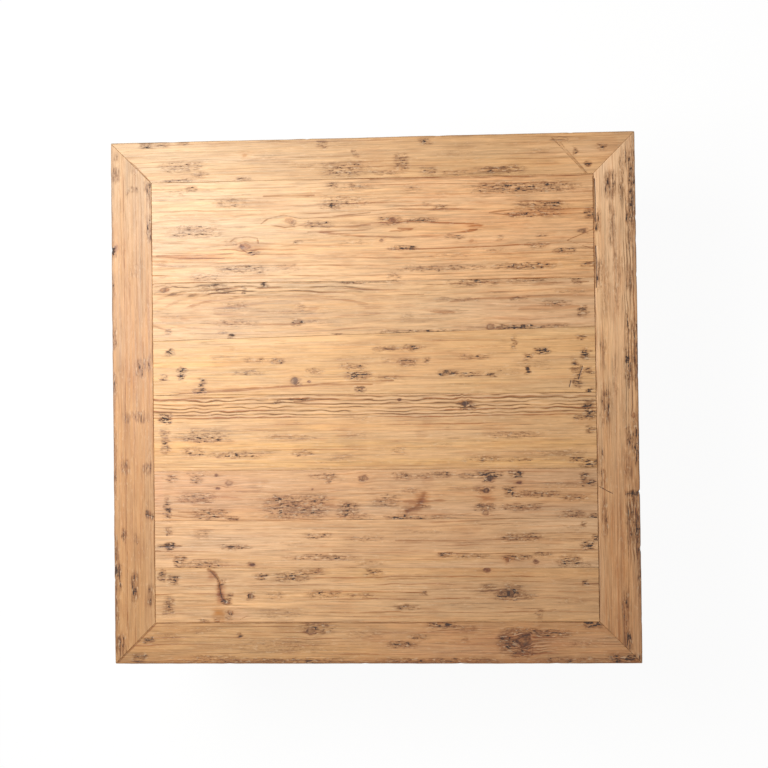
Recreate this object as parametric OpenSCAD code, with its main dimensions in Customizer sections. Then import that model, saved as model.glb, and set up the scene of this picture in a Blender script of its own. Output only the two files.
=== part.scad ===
// Square dining table: a panel of wide reclaimed pine boards held in a mitred frame,
// on four square legs that come off for carriage.
// The frame of reference: the origin is on the floor under the middle of the top,
// X runs along the boards, Y runs to the back and Z is up. All sizes are in millimetres.

/* [Top] */
// Side of the square top
top_size = 1524; // [1300:1:1750]
// Height of the top face above the floor
top_height = 762; // [710:1:790]
// Width of each mitred frame member
frame_w = 120; // [105:1:140]
// Thickness of the frame members
frame_t = 45; // [42:1:60]
// Thickness of the boards between them
panel_t = 30; // [26:1:32]
// Softened arris along the outer edges of the frame
frame_ease = 3; // [1:0.5:5]

/* [Boards, from back to front] */
// Width of board 1 at its left end
board_1 = 294.5; // [200:0.5:340]
// How much wider it is at its right end
board_1_flare = 6; // [-40:0.5:40]
// Width of board 2 at its left end
board_2 = 169; // [120:0.5:220]
// How much wider it is at its right end
board_2_flare = -30; // [-40:0.5:40]
// Width of board 3 at its left end
board_3 = 158.5; // [110:0.5:220]
// How much wider it is at its right end
board_3_flare = 30.5; // [-40:0.5:40]
// Width of board 4 at its left end
board_4 = 221; // [150:0.5:280]
// How much wider it is at its right end
board_4_flare = -4.5; // [-40:0.5:40]
// Width of board 5 at its left end
board_5 = 145; // [110:0.5:200]
// How much wider it is at its right end
board_5_flare = -2; // [-40:0.5:40]
// Width of board 6 at its left end
board_6 = 137; // [110:0.5:200]
// How much wider it is at its right end
board_6_flare = 5; // [-40:0.5:40]
// Width of board 7 at its left end
board_7 = 159; // [110:0.5:220]
// How much wider it is at its right end
board_7_flare = -5; // [-40:0.5:40]

/* [Board joints] */
// Thickness of the tongues on the boards
tongue_t = 10; // [7:0.5:12]
// How far each tongue stands out
tongue_l = 12; // [8:0.5:15]
// Free depth behind a tongue, for movement of the wood
tongue_room = 1; // [0.5:0.1:2]
// Clearance on each cheek of a tongue or spline
cheek_clear = 0.2; // [0.1:0.05:0.4]
// Open joint between neighbouring boards
board_gap = 0.4; // [0.2:0.1:1]
// Open joint between the panel and the frame around it
panel_gap = 1.6; // [0.8:0.1:2.5]
// Bevel along the top edges of the boards
board_bevel = 0.8; // [0.4:0.1:1.5]
// Bevel where the panel meets the frame
panel_bevel = 1.8; // [0.8:0.1:2.5]
// Open joint at each mitre
mitre_gap = 0.4; // [0.2:0.1:0.8]

/* [Mitre splines] */
// Length of a spline along the mitre
spline_l = 84; // [50:1:95]
// Width of a spline across the mitre
spline_w = 44; // [30:1:55]
// Thickness of a spline
spline_t = 6; // [4:0.5:8]
// Height of a spline's underside above the frame's underside
spline_up = 8; // [5:0.5:12]

/* [Battens] */
// Width of the battens under the boards
batten_w = 70; // [50:1:90]
// Thickness of the battens
batten_t = 22; // [18:1:26]
// Distance from the ends of the boards to the outer battens' middles
batten_inset = 212; // [140:1:320]
// Free space between a batten's end and the frame or the buttons
batten_room = 6; // [3:0.5:12]

/* [Legs] */
// Side of the square legs
leg_w = 110; // [90:1:130]
// How far the top oversails the legs
overhang = 38; // [20:1:60]
// Chamfer along the leg's edges
leg_ease = 4; // [2:0.5:8]
// Flat cut off the leg's inner corner, for the bolts
leg_flat = 30; // [24:1:40]

/* [Aprons] */
// Height of the aprons
apron_h = 95; // [88:1:120]
// Thickness of the aprons
apron_t = 28; // [24:1:34]
// How far the aprons lie behind the legs' outer faces
apron_setback = 12; // [6:1:20]
// Chamfer along the aprons' lower edges
apron_ease = 2; // [1:0.5:4]
// Height of the groove for the buttons
button_groove_h = 8; // [6:0.5:10]
// Depth of the groove for the buttons
button_groove_d = 10; // [8:0.5:12]
// Wood left above the groove
button_groove_top = 11.5; // [10:0.5:16]

/* [Corner blocks] */
// Thickness of a corner block along the bolt
block_t = 32; // [26:1:38]
// Height of a corner block
block_h = 64; // [56:1:68]
// Wood left between a corner block's top and the button groove
block_drop = 2; // [1:0.5:6]
// Gap left between block and leg, so that the bolts draw tight
block_gap = 6; // [3:0.5:9]
// Wood of a corner block under the heads of its screws
block_grip = 16; // [12:1:22]

/* [Buttons] */
// Length of a button's body
button_l = 34; // [28:1:40]
// Width of a button
button_w = 32; // [26:1:40]
// Thickness of a button's body
button_t = 21; // [20:0.5:26]
// Distance from a leg to the middle of the button next to it
button_inset = 194; // [175:1:260]
// Distance from that button to the next one
button_step = 270; // [150:1:300]
// Gap between a button's body and the apron
button_room = 2; // [1:0.5:4]

/* [Middle rail] */
// Width of the rail that stiffens the aprons
rail_w = 45; // [36:1:60]
// Height of that rail
rail_h = 62; // [50:1:70]
// Length of its tenons
rail_tenon_l = 14; // [10:1:18]
// Width of its tenons
rail_tenon_w = 22; // [16:1:28]
// Height of its tenons
rail_tenon_h = 32; // [24:1:36]

/* [Fixings] */
// Diameter of the hanger bolts
bolt_d = 8; // [6:1:10]
// Depth of a hanger bolt in the leg
bolt_in_leg = 50; // [40:1:60]
// Distance between the two bolts at a corner
bolt_pitch = 34; // [30:1:38]
// Thickness of a nut
nut_h = 6.5; // [5:0.5:8]
// Width of a nut across its flats
nut_af = 13; // [11:0.5:16]
// Diameter of a washer
washer_d = 22; // [18:1:26]
// Thickness of a washer
washer_t = 1.6; // [1:0.1:2.5]
// How far a bolt stands out past its nut
bolt_out = 4; // [2:0.5:8]
// Diameter of the wood screws
screw_d = 4; // [3:0.5:5]
// Diameter of their heads
screw_head_d = 8; // [7:0.5:10]
// Height of their countersunk heads
screw_head_h = 3; // [2.5:0.5:4]
// Length of the screws in battens and buttons
screw_l = 38; // [34:1:40]
// Length of the screws in corner blocks
block_screw_l = 38; // [34:1:42]
// Radial clearance of every screw, bolt and nail
hole_clear = 0.1; // [0.05:0.05:0.2]
// Radial clearance of a driver's hole in a corner block
driver_clear = 1; // [0.5:0.5:2]

/* [Feet] */
// Diameter of a foot glide
glide_d = 36; // [28:1:50]
// Thickness of a foot glide
glide_t = 5; // [3:0.5:8]
// Diameter of its nail
nail_d = 4; // [3:0.5:5]
// Length of its nail
nail_l = 22; // [16:1:30]
// Thickness of the nail's head, sunk in the glide
nail_head_t = 1.5; // [1:0.1:2]

/* [Hidden] */
$fn = 48;

// Widths of the boards from back to front, at their left and right ends. They taper,
// as sawn, and are scaled so that together they fill the frame.
board_left = [board_1, board_2, board_3, board_4, board_5, board_6, board_7];
board_flare = [
    board_1_flare, board_2_flare, board_3_flare, board_4_flare,
    board_5_flare, board_6_flare, board_7_flare
];
board_right = board_left + board_flare;
board_tones = ["#dcb078", "#d3a672", "#dcb07a", "#d9ac70", "#cf9f78", "#d6aa78", "#cf9f6a"];

over = 1;                                  // how far a cutter passes the wood it cuts
half = top_size / 2;
open_half = half - frame_w;                // from the middle to the frame's inner edge
panel_half = open_half - panel_gap;        // from the middle to the ends of the boards
frame_z = top_height - frame_t;            // underside of the frame
panel_z = top_height - panel_t;            // underside of the boards
tongue_z = panel_z + (panel_t - tongue_t) / 2;
groove_l = tongue_l + tongue_room;
batten_z = panel_z - batten_t;
batten_x = panel_half - batten_inset;
leg_out = half - overhang;                 // from the middle to a leg's outer face
leg_in = leg_out - leg_w;                  // and to its inner face
apron_out = leg_out - apron_setback;
apron_in = apron_out - apron_t;
apron_z = frame_z - apron_h;
groove_z = frame_z - button_groove_top - button_groove_h;
block_z = groove_z - block_drop - block_h;
block_mid = block_z + block_h / 2;
flat_sum = 2 * leg_in + leg_flat;          // x + y on the flat of a leg
block_sum = flat_sum - block_gap * sqrt(2);
block_back = block_sum - block_t * sqrt(2);
flat_mid = flat_sum / sqrt(2);             // distances along the corner's diagonal
block_face = block_back / sqrt(2);
button_y = apron_in - button_room - button_l / 2;
batten_end = min(open_half, apron_in - button_room - button_l) - batten_room;
rail_top = min(batten_z, frame_z);
tenon_z = groove_z - block_drop - rail_tenon_h;
bolt_in_wood = flat_mid - block_face + bolt_in_leg;
bolt_tail = washer_t + nut_h + bolt_out;
head_d = screw_head_d + 2 * hole_clear;

function total(list, count) = count == 0 ? 0 : list[count - 1] + total(list, count - 1);
// Distance of seam number i from the middle, at the left or right end of the boards
function seam(list, i) = open_half - 2 * open_half * total(list, i) / total(list, len(list));
function seam_y(i, x) = let (share = (x + open_half) / (2 * open_half))
    seam(board_left, i) * (1 - share) + seam(board_right, i) * share;
function gap_at(i) = (i == 0 || i == len(board_left)) ? panel_gap : board_gap / 2;

// A point on the long edge of a board: i is the seam, side is +1 for the board before it
function edge_point(i, x, side) = [x, seam_y(i, x) + side * gap_at(i)];

// Cuts a bevel along a top edge, which runs between two points with the wood on its right
module bevel_cut(from, to, size) {
    run = to - from;
    translate([from[0], from[1], top_height])
        rotate([0, 0, atan2(run[1], run[0])])
            rotate([90, 0, 90])
                translate([0, 0, -over])
                    linear_extrude(norm(run) + 2 * over)
                        polygon([[-size - over, over], [over, over], [over, -size - over]]);
}

// One board of the panel before its edges are bevelled, with its tongues, groove and holes
module plank_blank(number) {
    last = number == len(board_left);
    bl = edge_point(number - 1, -panel_half, -1);
    br = edge_point(number - 1, panel_half, -1);
    fl = edge_point(number, -panel_half, 1);
    fr = edge_point(number, panel_half, 1);
    inset = groove_l + tongue_room;        // keeps the end tongues clear of the grooves
    difference() {
        union() {
            translate([0, 0, panel_z])
                linear_extrude(panel_t) polygon([bl, br, fr, fl]);
            translate([0, 0, tongue_z])
                linear_extrude(tongue_t) {
                    polygon([bl + [0, tongue_l], br + [0, tongue_l], br, bl]);
                    if (last) polygon([fl, fr, fr - [0, tongue_l], fl - [0, tongue_l]]);
                    polygon([
                        bl + [-tongue_l, -inset], br + [tongue_l, -inset],
                        fr + [tongue_l, inset], fl + [-tongue_l, inset]
                    ]);
                }
        }
        if (!last)
            translate([0, 0, tongue_z - cheek_clear])
                linear_extrude(tongue_t + 2 * cheek_clear)
                    polygon([
                        fl + [-over, groove_l], fr + [over, groove_l],
                        fr + [over, -over], fl + [-over, -over]
                    ]);
        for (x = [-batten_x, 0, batten_x])
            translate([x, board_middle(number, x), batten_z]) screw_hole(screw_l);
    }
}

// One board of the panel: number 1 lies at the back
module plank(number) {
    last = number == len(board_left);
    bl = edge_point(number - 1, -panel_half, -1);
    br = edge_point(number - 1, panel_half, -1);
    fl = edge_point(number, -panel_half, 1);
    fr = edge_point(number, panel_half, 1);
    color(board_tones[number - 1])
    difference() {
        plank_blank(number);
        bevel_cut(bl, br, number == 1 ? panel_bevel : board_bevel);
        bevel_cut(br, fr, panel_bevel);
        bevel_cut(fr, fl, last ? panel_bevel : board_bevel);
        bevel_cut(fl, bl, panel_bevel);
    }
}

function board_middle(number, x) = (seam_y(number - 1, x) + seam_y(number, x)) / 2;

// Section of a frame member: y is measured from the middle of the table, z from the floor
module frame_section() {
    difference() {
        polygon([
            [open_half, frame_z], [half - frame_ease, frame_z], [half, frame_z + frame_ease],
            [half, top_height - frame_ease], [half - frame_ease, top_height],
            [open_half + panel_bevel, top_height], [open_half, top_height - panel_bevel]
        ]);
        translate([open_half - over, tongue_z - cheek_clear])
            square([groove_l + over, tongue_t + 2 * cheek_clear]);
    }
}

// The frame member along the back, with mitred ends and slots for the splines
module frame_member() {
    trim = mitre_gap / sqrt(2);
    color("#d2a26b")
    difference() {
        intersection() {
            rotate([90, 0, 90])
                translate([0, 0, -half])
                    linear_extrude(top_size) frame_section();
            translate([0, 0, frame_z - over])
                linear_extrude(frame_t + 2 * over)
                    polygon([
                        [-half + trim, half], [half - trim, half],
                        [open_half - trim, open_half], [-open_half + trim, open_half]
                    ]);
        }
        both_ends() spline(cheek_clear);
        at_buttons() screw_hole(screw_l);
    }
}

// A loose spline in the mitre at the back right corner, or with a clearance its slot
module spline(clear = 0) {
    middle = half - frame_w / 2;
    color("#b98a58")
    translate([middle, middle, frame_z + spline_up - clear])
        rotate([0, 0, 45])
            translate([-spline_l / 2 - clear, -spline_w / 2 - clear, 0])
                cube([spline_l + 2 * clear, spline_w + 2 * clear, spline_t + 2 * clear]);
}

// A batten across the boards, screwed up into each of them
module batten(x) {
    color("#c99c68")
    difference() {
        translate([x - batten_w / 2, -batten_end, batten_z])
            cube([batten_w, 2 * batten_end, batten_t]);
        for (number = [1 : len(board_left)])
            translate([x, board_middle(number, x), batten_z]) screw_hole(screw_l);
    }
}

// A countersunk wood screw that points up, with the face of its head at the origin
module screw(length, clear = 0) {
    color("#9a9a94") {
        cylinder(h = screw_head_h, d1 = screw_head_d + 2 * clear, d2 = screw_d + 2 * clear);
        cylinder(h = length + clear, d = screw_d + 2 * clear);
    }
}

// The hole for that screw, which opens below its head
module screw_hole(length) {
    screw(length, hole_clear);
    translate([0, 0, -over]) cylinder(h = over + hole_clear, d = head_d);
}

// A leg at the back right corner
module leg() {
    e = leg_ease;
    color("#cf9f6b")
    difference() {
        translate([0, 0, glide_t])
            linear_extrude(frame_z - glide_t)
                polygon([
                    [leg_in + e, leg_in], [leg_out - e, leg_in], [leg_out, leg_in + e],
                    [leg_out, leg_out - e], [leg_out - e, leg_out], [leg_in + e, leg_out],
                    [leg_in, leg_out - e], [leg_in, leg_in + e]
                ]);
        translate([0, 0, apron_z])
            linear_extrude(apron_h + over)
                polygon([
                    [leg_in - over, leg_in - over], [leg_in + leg_flat + over, leg_in - over],
                    [leg_in - over, leg_in + leg_flat + over]
                ]);
        at_bolts() bolt_shank(hole_clear);
        translate([leg_in + leg_w / 2, leg_in + leg_w / 2, glide_t - over])
            cylinder(h = nail_l - glide_t + nail_head_t + over, d = nail_d + 2 * hole_clear);
    }
}

// An apron along the back, with the groove for its buttons
module apron_blank() {
    color("#d0a36e")
    difference() {
        rotate([90, 0, 90])
            translate([0, 0, -leg_in])
                linear_extrude(2 * leg_in)
                    polygon([
                        [apron_in + apron_ease, apron_z], [apron_out - apron_ease, apron_z],
                        [apron_out, apron_z + apron_ease], [apron_out, frame_z],
                        [apron_in, frame_z], [apron_in, apron_z + apron_ease]
                    ]);
        translate([-leg_in - over, apron_in - over, groove_z])
            cube([2 * (leg_in + over), button_groove_d + over, button_groove_h]);
        both_ends() block_screw_places() screw(block_screw_l, hole_clear);
    }
}

// An apron, with a mortise where the middle rail meets it
module apron(mortised) {
    difference() {
        apron_blank();
        if (mortised) rail_tenon(cheek_clear);
    }
}

// The tenon on the back end of the middle rail, or with a clearance its mortise
module rail_tenon(clear = 0) {
    color("#c99c68")
    translate([-rail_tenon_w / 2 - clear, apron_in - over, tenon_z - clear])
        cube([
            rail_tenon_w + 2 * clear, rail_tenon_l + over + clear, rail_tenon_h + 2 * clear
        ]);
}

// The rail between the front and back aprons, under the middle batten
module middle_rail() {
    color("#c99c68") {
        translate([-rail_w / 2, -apron_in, rail_top - rail_h])
            cube([rail_w, 2 * apron_in, rail_h]);
        for (side = [0, 1]) mirror([0, side, 0]) rail_tenon();
    }
}

// A block across the back right corner, behind the leg
module corner_block() {
    color("#c4935f")
    difference() {
        translate([0, 0, block_z])
            linear_extrude(block_h)
                polygon([
                    [apron_in, block_back - apron_in], [apron_in, block_sum - apron_in],
                    [block_sum - apron_in, apron_in], [block_back - apron_in, apron_in]
                ]);
        at_bolts() bolt_shank(hole_clear);
        both_ways() block_screw_places() {
            screw(block_screw_l, hole_clear);
            translate([0, 0, -block_t])
                cylinder(h = block_t + hole_clear, d = screw_head_d + 2 * driver_clear);
        }
    }
}

// Puts its children on the screws that join a corner block to the apron along the back
module block_screw_places() {
    inboard = (block_sum + block_back) / 2 - apron_in;
    for (up = [-1, 1])
        translate([inboard, apron_in - block_grip, block_mid + up * bolt_pitch / 2])
            rotate([-90, 0, 0]) children();
}

// Mirrors its children to the other end of a piece as well
module both_ends() {
    children();
    mirror([1, 0, 0]) children();
}

// Mirrors its children across the corner's diagonal as well
module both_ways() {
    children();
    mirror([1, -1, 0]) children();
}

// Puts its children on the two bolt axes of the back right corner, pointing into the leg,
// with the origin on the face of the corner block
module at_bolts() {
    for (up = [-1, 1])
        translate([block_face / sqrt(2), block_face / sqrt(2), block_mid + up * bolt_pitch / 2])
            rotate([0, 90, 45]) children();
}

module bolt_shank(clear = 0) {
    translate([0, 0, -bolt_tail])
        cylinder(h = bolt_tail + bolt_in_wood + clear, d = bolt_d + 2 * clear);
}

module hanger_bolt() {
    color("#b3b0a6") bolt_shank();
}

module bolt_washer() {
    color("#b3b0a6")
    translate([0, 0, -washer_t])
        difference() {
            cylinder(h = washer_t, d = washer_d);
            translate([0, 0, -over])
                cylinder(h = washer_t + 2 * over, d = bolt_d + 2 * hole_clear);
        }
}

module bolt_nut() {
    color("#a8a59b")
    translate([0, 0, -washer_t - nut_h])
        difference() {
            cylinder(h = nut_h, d = nut_af / cos(30), $fn = 6);
            translate([0, 0, -over])
                cylinder(h = nut_h + 2 * over, d = bolt_d + 2 * hole_clear);
        }
}

// Places of the buttons along an apron
function button_places() = let (outer = leg_in - button_inset)
    [-outer, button_step - outer, outer - button_step, outer];

// Puts its children under the buttons of the apron along the back
module at_buttons() {
    for (x = button_places()) translate([x, button_y, frame_z - button_t]) children();
}

// A wooden button on the apron along the back: its tongue hooks into the apron's groove
// and bears on the wood above it
module top_button() {
    tongue_h = button_groove_h - tongue_room;
    tongue_end = button_groove_d - tongue_room;
    color("#c4935f")
    difference() {
        union() {
            translate([-button_w / 2, -button_l / 2, 0]) cube([button_w, button_l, button_t]);
            translate([
                -button_w / 2, button_l / 2 - over, button_t - button_groove_top - tongue_h
            ])
                cube([button_w, over + button_room + tongue_end, tongue_h]);
        }
        screw_hole(screw_l);
    }
}

// A foot glide under the leg at the back right corner, held by one nail
module foot_glide() {
    color("#4a4038")
    translate([leg_in + leg_w / 2, leg_in + leg_w / 2, 0])
        difference() {
            cylinder(h = glide_t, d = glide_d);
            translate([0, 0, -over])
                cylinder(h = glide_t + 2 * over, d = nail_d + 2 * hole_clear);
            translate([0, 0, -over])
                cylinder(h = over + 2 * nail_head_t, d = 2 * nail_d + 2 * hole_clear);
        }
}

module glide_nail() {
    color("#9a9a94")
    translate([leg_in + leg_w / 2, leg_in + leg_w / 2, nail_head_t]) {
        cylinder(h = nail_head_t, d = 2 * nail_d);
        cylinder(h = nail_l, d = nail_d);
    }
}

// Moves a piece from the back right corner to another one
module corner(right, back) {
    mirror([right ? 0 : 1, 0, 0]) mirror([0, back ? 0 : 1, 0]) children();
}

module every_corner() {
    for (right = [false, true])
        for (back = [false, true])
            corner(right, back) children();
}

module every_side() {
    for (turn = [0 : 90 : 270]) rotate([0, 0, turn]) children();
}

plank(1);  // plank_1
plank(2);  // plank_2
plank(3);  // plank_3
plank(4);  // plank_4
plank(5);  // plank_5
plank(6);  // plank_6
plank(7);  // plank_7
frame_member();  // frame_back
rotate([0, 0, 180]) frame_member();  // frame_front
rotate([0, 0, 90]) frame_member();  // frame_left
rotate([0, 0, -90]) frame_member();  // frame_right
every_corner() spline();  // mitre_splines
batten(-batten_x);  // batten_left
batten(0);  // batten_middle
batten(batten_x);  // batten_right
for (x = [-batten_x, 0, batten_x])  // batten_screws
        for (number = [1 : len(board_left)])
            translate([x, board_middle(number, x), batten_z]) screw(screw_l);
corner(false, false) leg();  // leg_front_left
corner(true, false) leg();  // leg_front_right
corner(false, true) leg();  // leg_back_left
corner(true, true) leg();  // leg_back_right
rotate([0, 0, 180]) apron(true);  // apron_front
apron(true);  // apron_back
rotate([0, 0, 90]) apron(false);  // apron_left
rotate([0, 0, -90]) apron(false);  // apron_right
middle_rail();
corner(false, false) corner_block();  // corner_block_front_left
corner(true, false) corner_block();  // corner_block_front_right
corner(false, true) corner_block();  // corner_block_back_left
corner(true, true) corner_block();  // corner_block_back_right
every_corner() both_ways() block_screw_places() screw(block_screw_l);  // corner_block_screws
every_corner() at_bolts() hanger_bolt();  // hanger_bolts
every_corner() at_bolts() bolt_washer();  // bolt_washers
every_corner() at_bolts() bolt_nut();  // bolt_nuts
every_side() at_buttons() top_button();  // top_buttons
every_side() at_buttons() screw(screw_l);  // button_screws
every_corner() foot_glide();  // foot_glides
every_corner() glide_nail();  // glide_nails
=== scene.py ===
import math

import bmesh
import bpy
import numpy as np
from bpy.props import FloatProperty, FloatVectorProperty, PointerProperty
from mathutils import Euler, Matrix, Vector


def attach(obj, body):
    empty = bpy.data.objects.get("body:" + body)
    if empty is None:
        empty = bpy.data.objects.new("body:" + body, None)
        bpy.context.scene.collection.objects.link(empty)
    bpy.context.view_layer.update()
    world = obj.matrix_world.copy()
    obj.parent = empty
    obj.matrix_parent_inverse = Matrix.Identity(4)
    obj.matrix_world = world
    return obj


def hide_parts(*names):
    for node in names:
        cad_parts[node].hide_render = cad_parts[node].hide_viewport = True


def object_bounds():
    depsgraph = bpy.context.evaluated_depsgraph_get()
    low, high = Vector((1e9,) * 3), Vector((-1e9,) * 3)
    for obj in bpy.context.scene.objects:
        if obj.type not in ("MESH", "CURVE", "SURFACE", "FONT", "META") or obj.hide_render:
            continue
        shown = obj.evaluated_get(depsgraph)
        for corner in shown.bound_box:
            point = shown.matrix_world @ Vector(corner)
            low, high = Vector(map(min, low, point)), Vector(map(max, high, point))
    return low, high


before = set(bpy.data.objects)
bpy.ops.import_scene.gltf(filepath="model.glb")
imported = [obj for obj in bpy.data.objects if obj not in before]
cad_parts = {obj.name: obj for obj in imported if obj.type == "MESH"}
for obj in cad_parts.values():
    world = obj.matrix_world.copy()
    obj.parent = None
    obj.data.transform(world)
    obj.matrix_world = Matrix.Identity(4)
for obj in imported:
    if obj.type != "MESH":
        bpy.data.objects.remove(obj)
cad_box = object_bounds()

bl_info = {
    "name": "Weathered pine dining table",
    "version": (1, 0, 0),
    "blender": (4, 5, 0),
    "location": "View3D > Sidebar > Table",
    "description": "Dresses the solids of a square pine table with worn boards and finishes",
    "category": "Object",
}

MM = 0.001
BAKE_MAP = "OFBake"

# Sizes of the solids, in millimetres
SIDE = round((cad_box[1].x - cad_box[0].x) / MM, 3)
HALF = SIDE / 2
TOP_Z = round(cad_box[1].z / MM, 3)
PER_CENT = SIDE / 100
FRAME_W = 120.0
FRAME_T = 45.0
PANEL_T = 30.0
OPEN_HALF = HALF - FRAME_W
PANEL_GAP = 0.6
BOARD_GAP = 0.3
PANEL_HALF = OPEN_HALF - PANEL_GAP
FRAME_Z = TOP_Z - FRAME_T
PANEL_Z = TOP_Z - PANEL_T

# The joints: tongues and grooves (reach, then low and high), how far an end tongue stops short
# of a board's edges, how far a frame member stops short of the mitre, and the pocket of a
# spline (length, reach and height)
TONGUE_L = 12.0
TONGUE_Z = (PANEL_Z + 10.0, PANEL_Z + 20.0)
GROOVE_L = 13.0
GROOVE_Z = (TONGUE_Z[0] - 0.2, TONGUE_Z[1] + 0.2)
END_INSET = 14.0
MITRE_TRIM = 0.283
SPLINE_POCKET = (84.4, 22.2, 6.4)
SPLINE_Z = FRAME_Z + 8.0 - 0.2

# The base: thickness of the glides, inner and outer faces of the legs and aprons from the
# table's middle, the flat on a leg's inner corner (where its two distances from the middle add
# up to this), and the groove for the buttons (low, high and depth)
GLIDE_T = 5.0
LEG_IN, LEG_OUT = 614.0, 724.0
LEG_FLAT_SUM = 1258.0
APRON_IN, APRON_OUT = 684.0, 712.0
APRON_Z = FRAME_Z - 95.0
BUTTON_GROOVE = (697.5, 705.5, 10.0)

# The four sides and corners, in the order in which quarter turns reach them from the back
SIDES = ("back", "left", "front", "right")
CORNERS = ("back_right", "back_left", "front_left", "front_right")
UPRIGHT = ("frame_left", "frame_right")

# How the worn meshes are made: rounding of the lower edges and step under the top, both in
# millimetres, steps to a rounded edge, how much coarser the base is than the top, dents to a
# piece, the angle in degrees from which an edge is sharp, and the size of the random grid
LOW_ARRIS = 0.6
UNDER_STEP = 9.0
ARC_STEPS = 4
BASE_COARSER = 1.25
DENTS = 14
SHARP_FROM = 50
HILL_GRID = (97, 89)

# How the map for baking is shared out: its margin, the part for a piece's sides, and where its
# two ends lie and how wide they are
MAP_MARGIN = 0.01
MAP_SIDES = 0.93
MAP_ENDS = (0.955, 0.976)
MAP_END_WIDTH = 0.015

# How the marks lie: how far they slant across with each millimetre down a side, how deep they
# reach below the face, and the radius under which a knot is uneven
SLANT = 1.3
TOP_FADE = 11.0
SMALL_KNOT = 7

# Where the painted highlight lies, the lamp's sheen painted onto the top at its back left corner,
# and how far it reaches, in hundredths
PAINTED_HIGHLIGHT_AT = (10, 2)
PAINTED_HIGHLIGHT_REACH = (34, 24)

# The studio, in metres, degrees and shares: floor, lamp, and the camera above the table
FLOOR_HALF = 9.0
FLOOR_GLOW = 1.06
FLOOR_GLOW_SHARE = 0.88
LAMP_SIDE = 1.3
LAMP_PLACE = (-1.05, 0.5, 2.75)
LAMP_AIM = (-0.15, 0.1)
LENS, SENSOR = 50.0, 36.0
CAMERA_PLACE = (0.179, 0.009, 3.841)
CAMERA_TURN = (0.67, 2.71, -0.75)

# Where the seams between the boards meet the frame, from the middle, at the left and right
SEAMS = (
    (642.0, 642.0),
    (347.5, 341.5),
    (178.5, 202.5),
    (20.0, 13.5),
    (-201.0, -203.0),
    (-346.0, -346.0),
    (-483.0, -488.0),
    (-642.0, -642.0),
)

# How each piece of the top was sawn: where the heart of the tree lay across the top, in
# hundredths, how deep it lay under the face, how far apart the growth rings are, how much they
# waver, how far the heart rises towards the left end, and how strongly the rings show
SAWN = {
    "plank_1": dict(pith=17.6, depth=38, spacing=9.6, waver=1.0, rise=18, lines=0.75),
    "plank_2": dict(pith=33.0, depth=80, spacing=8.8, waver=0.8, rise=20, lines=0.6),
    "plank_3": dict(pith=64.0, depth=60, spacing=7.6, waver=0.9, rise=8, lines=0.35),
    "plank_4": dict(pith=45.5, depth=60, spacing=8.6, waver=0.7, rise=10, lines=0.55),
    "plank_5": dict(pith=69.0, depth=64, spacing=7.4, waver=1.2, rise=18, lines=0.5),
    "plank_6": dict(pith=70.0, depth=40, spacing=9.0, waver=1.0, rise=14, lines=0.4),
    "plank_7": dict(pith=97.0, depth=50, spacing=10.5, waver=1.2, rise=16, lines=0.55),
    "frame_back": dict(pith=12.0, depth=50, spacing=7.0, waver=1.0, rise=12, lines=0.4),
    "frame_front": dict(pith=103.0, depth=40, spacing=8.0, waver=1.4, rise=10, lines=0.5),
    "frame_left": dict(pith=-3.0, depth=40, spacing=8.0, waver=0.8, rise=8, lines=0.2),
    "frame_right": dict(pith=112.0, depth=30, spacing=7.6, waver=0.6, rise=6, lines=0.5),
}

# Knots: place along and across in hundredths, radius in millimetres, stretch along the grain
# and tone
KNOTS = {
    "plank_1": [
        (26.0, 20.5, 10, 1.5, "brown"), (25.4, 20.4, 4, 1.3, "red"), (34.5, 15.6, 8, 1.4, "fresh"),
        (54.2, 16.0, 7, 1.6, "brown"), (52.0, 19.8, 4, 1.5, "dark"), (90.0, 18.7, 6, 1.8, "dark"),
        (69.2, 20.1, 4, 1.5, "fresh"),
    ],
    "plank_2": [(10.4, 28.4, 6, 2.6, "brown"), (72.4, 36.5, 8, 1.2, "ringed")],
    "plank_3": [
        (35.1, 46.2, 9, 1.2, "ringed"), (38.0, 46.4, 3, 1.4, "red"), (48.0, 47.9, 2.4, 1.2, "red"),
    ],
    "plank_4": [(67.5, 50.9, 6, 1.7, "dark"), (55.0, 50.1, 4, 1.4, "brown")],
    "plank_5": [
        (22.4, 65.6, 7, 1.5, "ringed"), (48.1, 64.9, 8, 1.5, "ringed"),
        (38.3, 66.9, 2, 1.1, "dark"), (71.9, 65.1, 7, 1.2, "ringed"), (71.2, 67.4, 7, 1.2, "dark"),
        (71.0, 71.6, 7, 1.2, "ringed"), (19.9, 64.0, 3, 1.8, "red"), (20.2, 66.6, 3, 2.2, "red"),
        (77.3, 65.9, 3, 2.0, "red"), (91.0, 72.4, 3, 1.1, "dark"),
    ],
    "plank_6": [
        (10.5, 77.5, 5, 1.2, "dark"), (26.6, 81.2, 4, 1.8, "red"), (75.0, 80.4, 5, 1.1, "brown"),
        (80.3, 80.9, 6, 1.1, "red"),
    ],
    "plank_7": [
        (21.5, 88.2, 4, 1.7, "dark"), (26.3, 87.1, 6, 1.3, "ringed"), (39.2, 82.1, 4, 1.5, "red"),
        (71.2, 82.3, 7, 1.5, "red"), (74.8, 86.8, 9, 2.6, "dark"), (22.4, 90.2, 7, 1.3, "fresh"),
    ],
    "frame_back": [(91.3, 6.2, 3, 1.1, "brown"), (26.0, 3.0, 4, 1.6, "fresh")],
    "frame_front": [
        (37.7, 93.8, 8, 1.3, "ringed"), (77.9, 95.5, 16, 1.3, "old"), (24.0, 94.8, 3, 1.2, "dark"),
    ],
    "frame_left": [(20.4, 0.9, 6, 1.4, "brown")],
    "frame_right": [(53.5, 98.9, 5, 1.3, "brown")],
}

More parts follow.
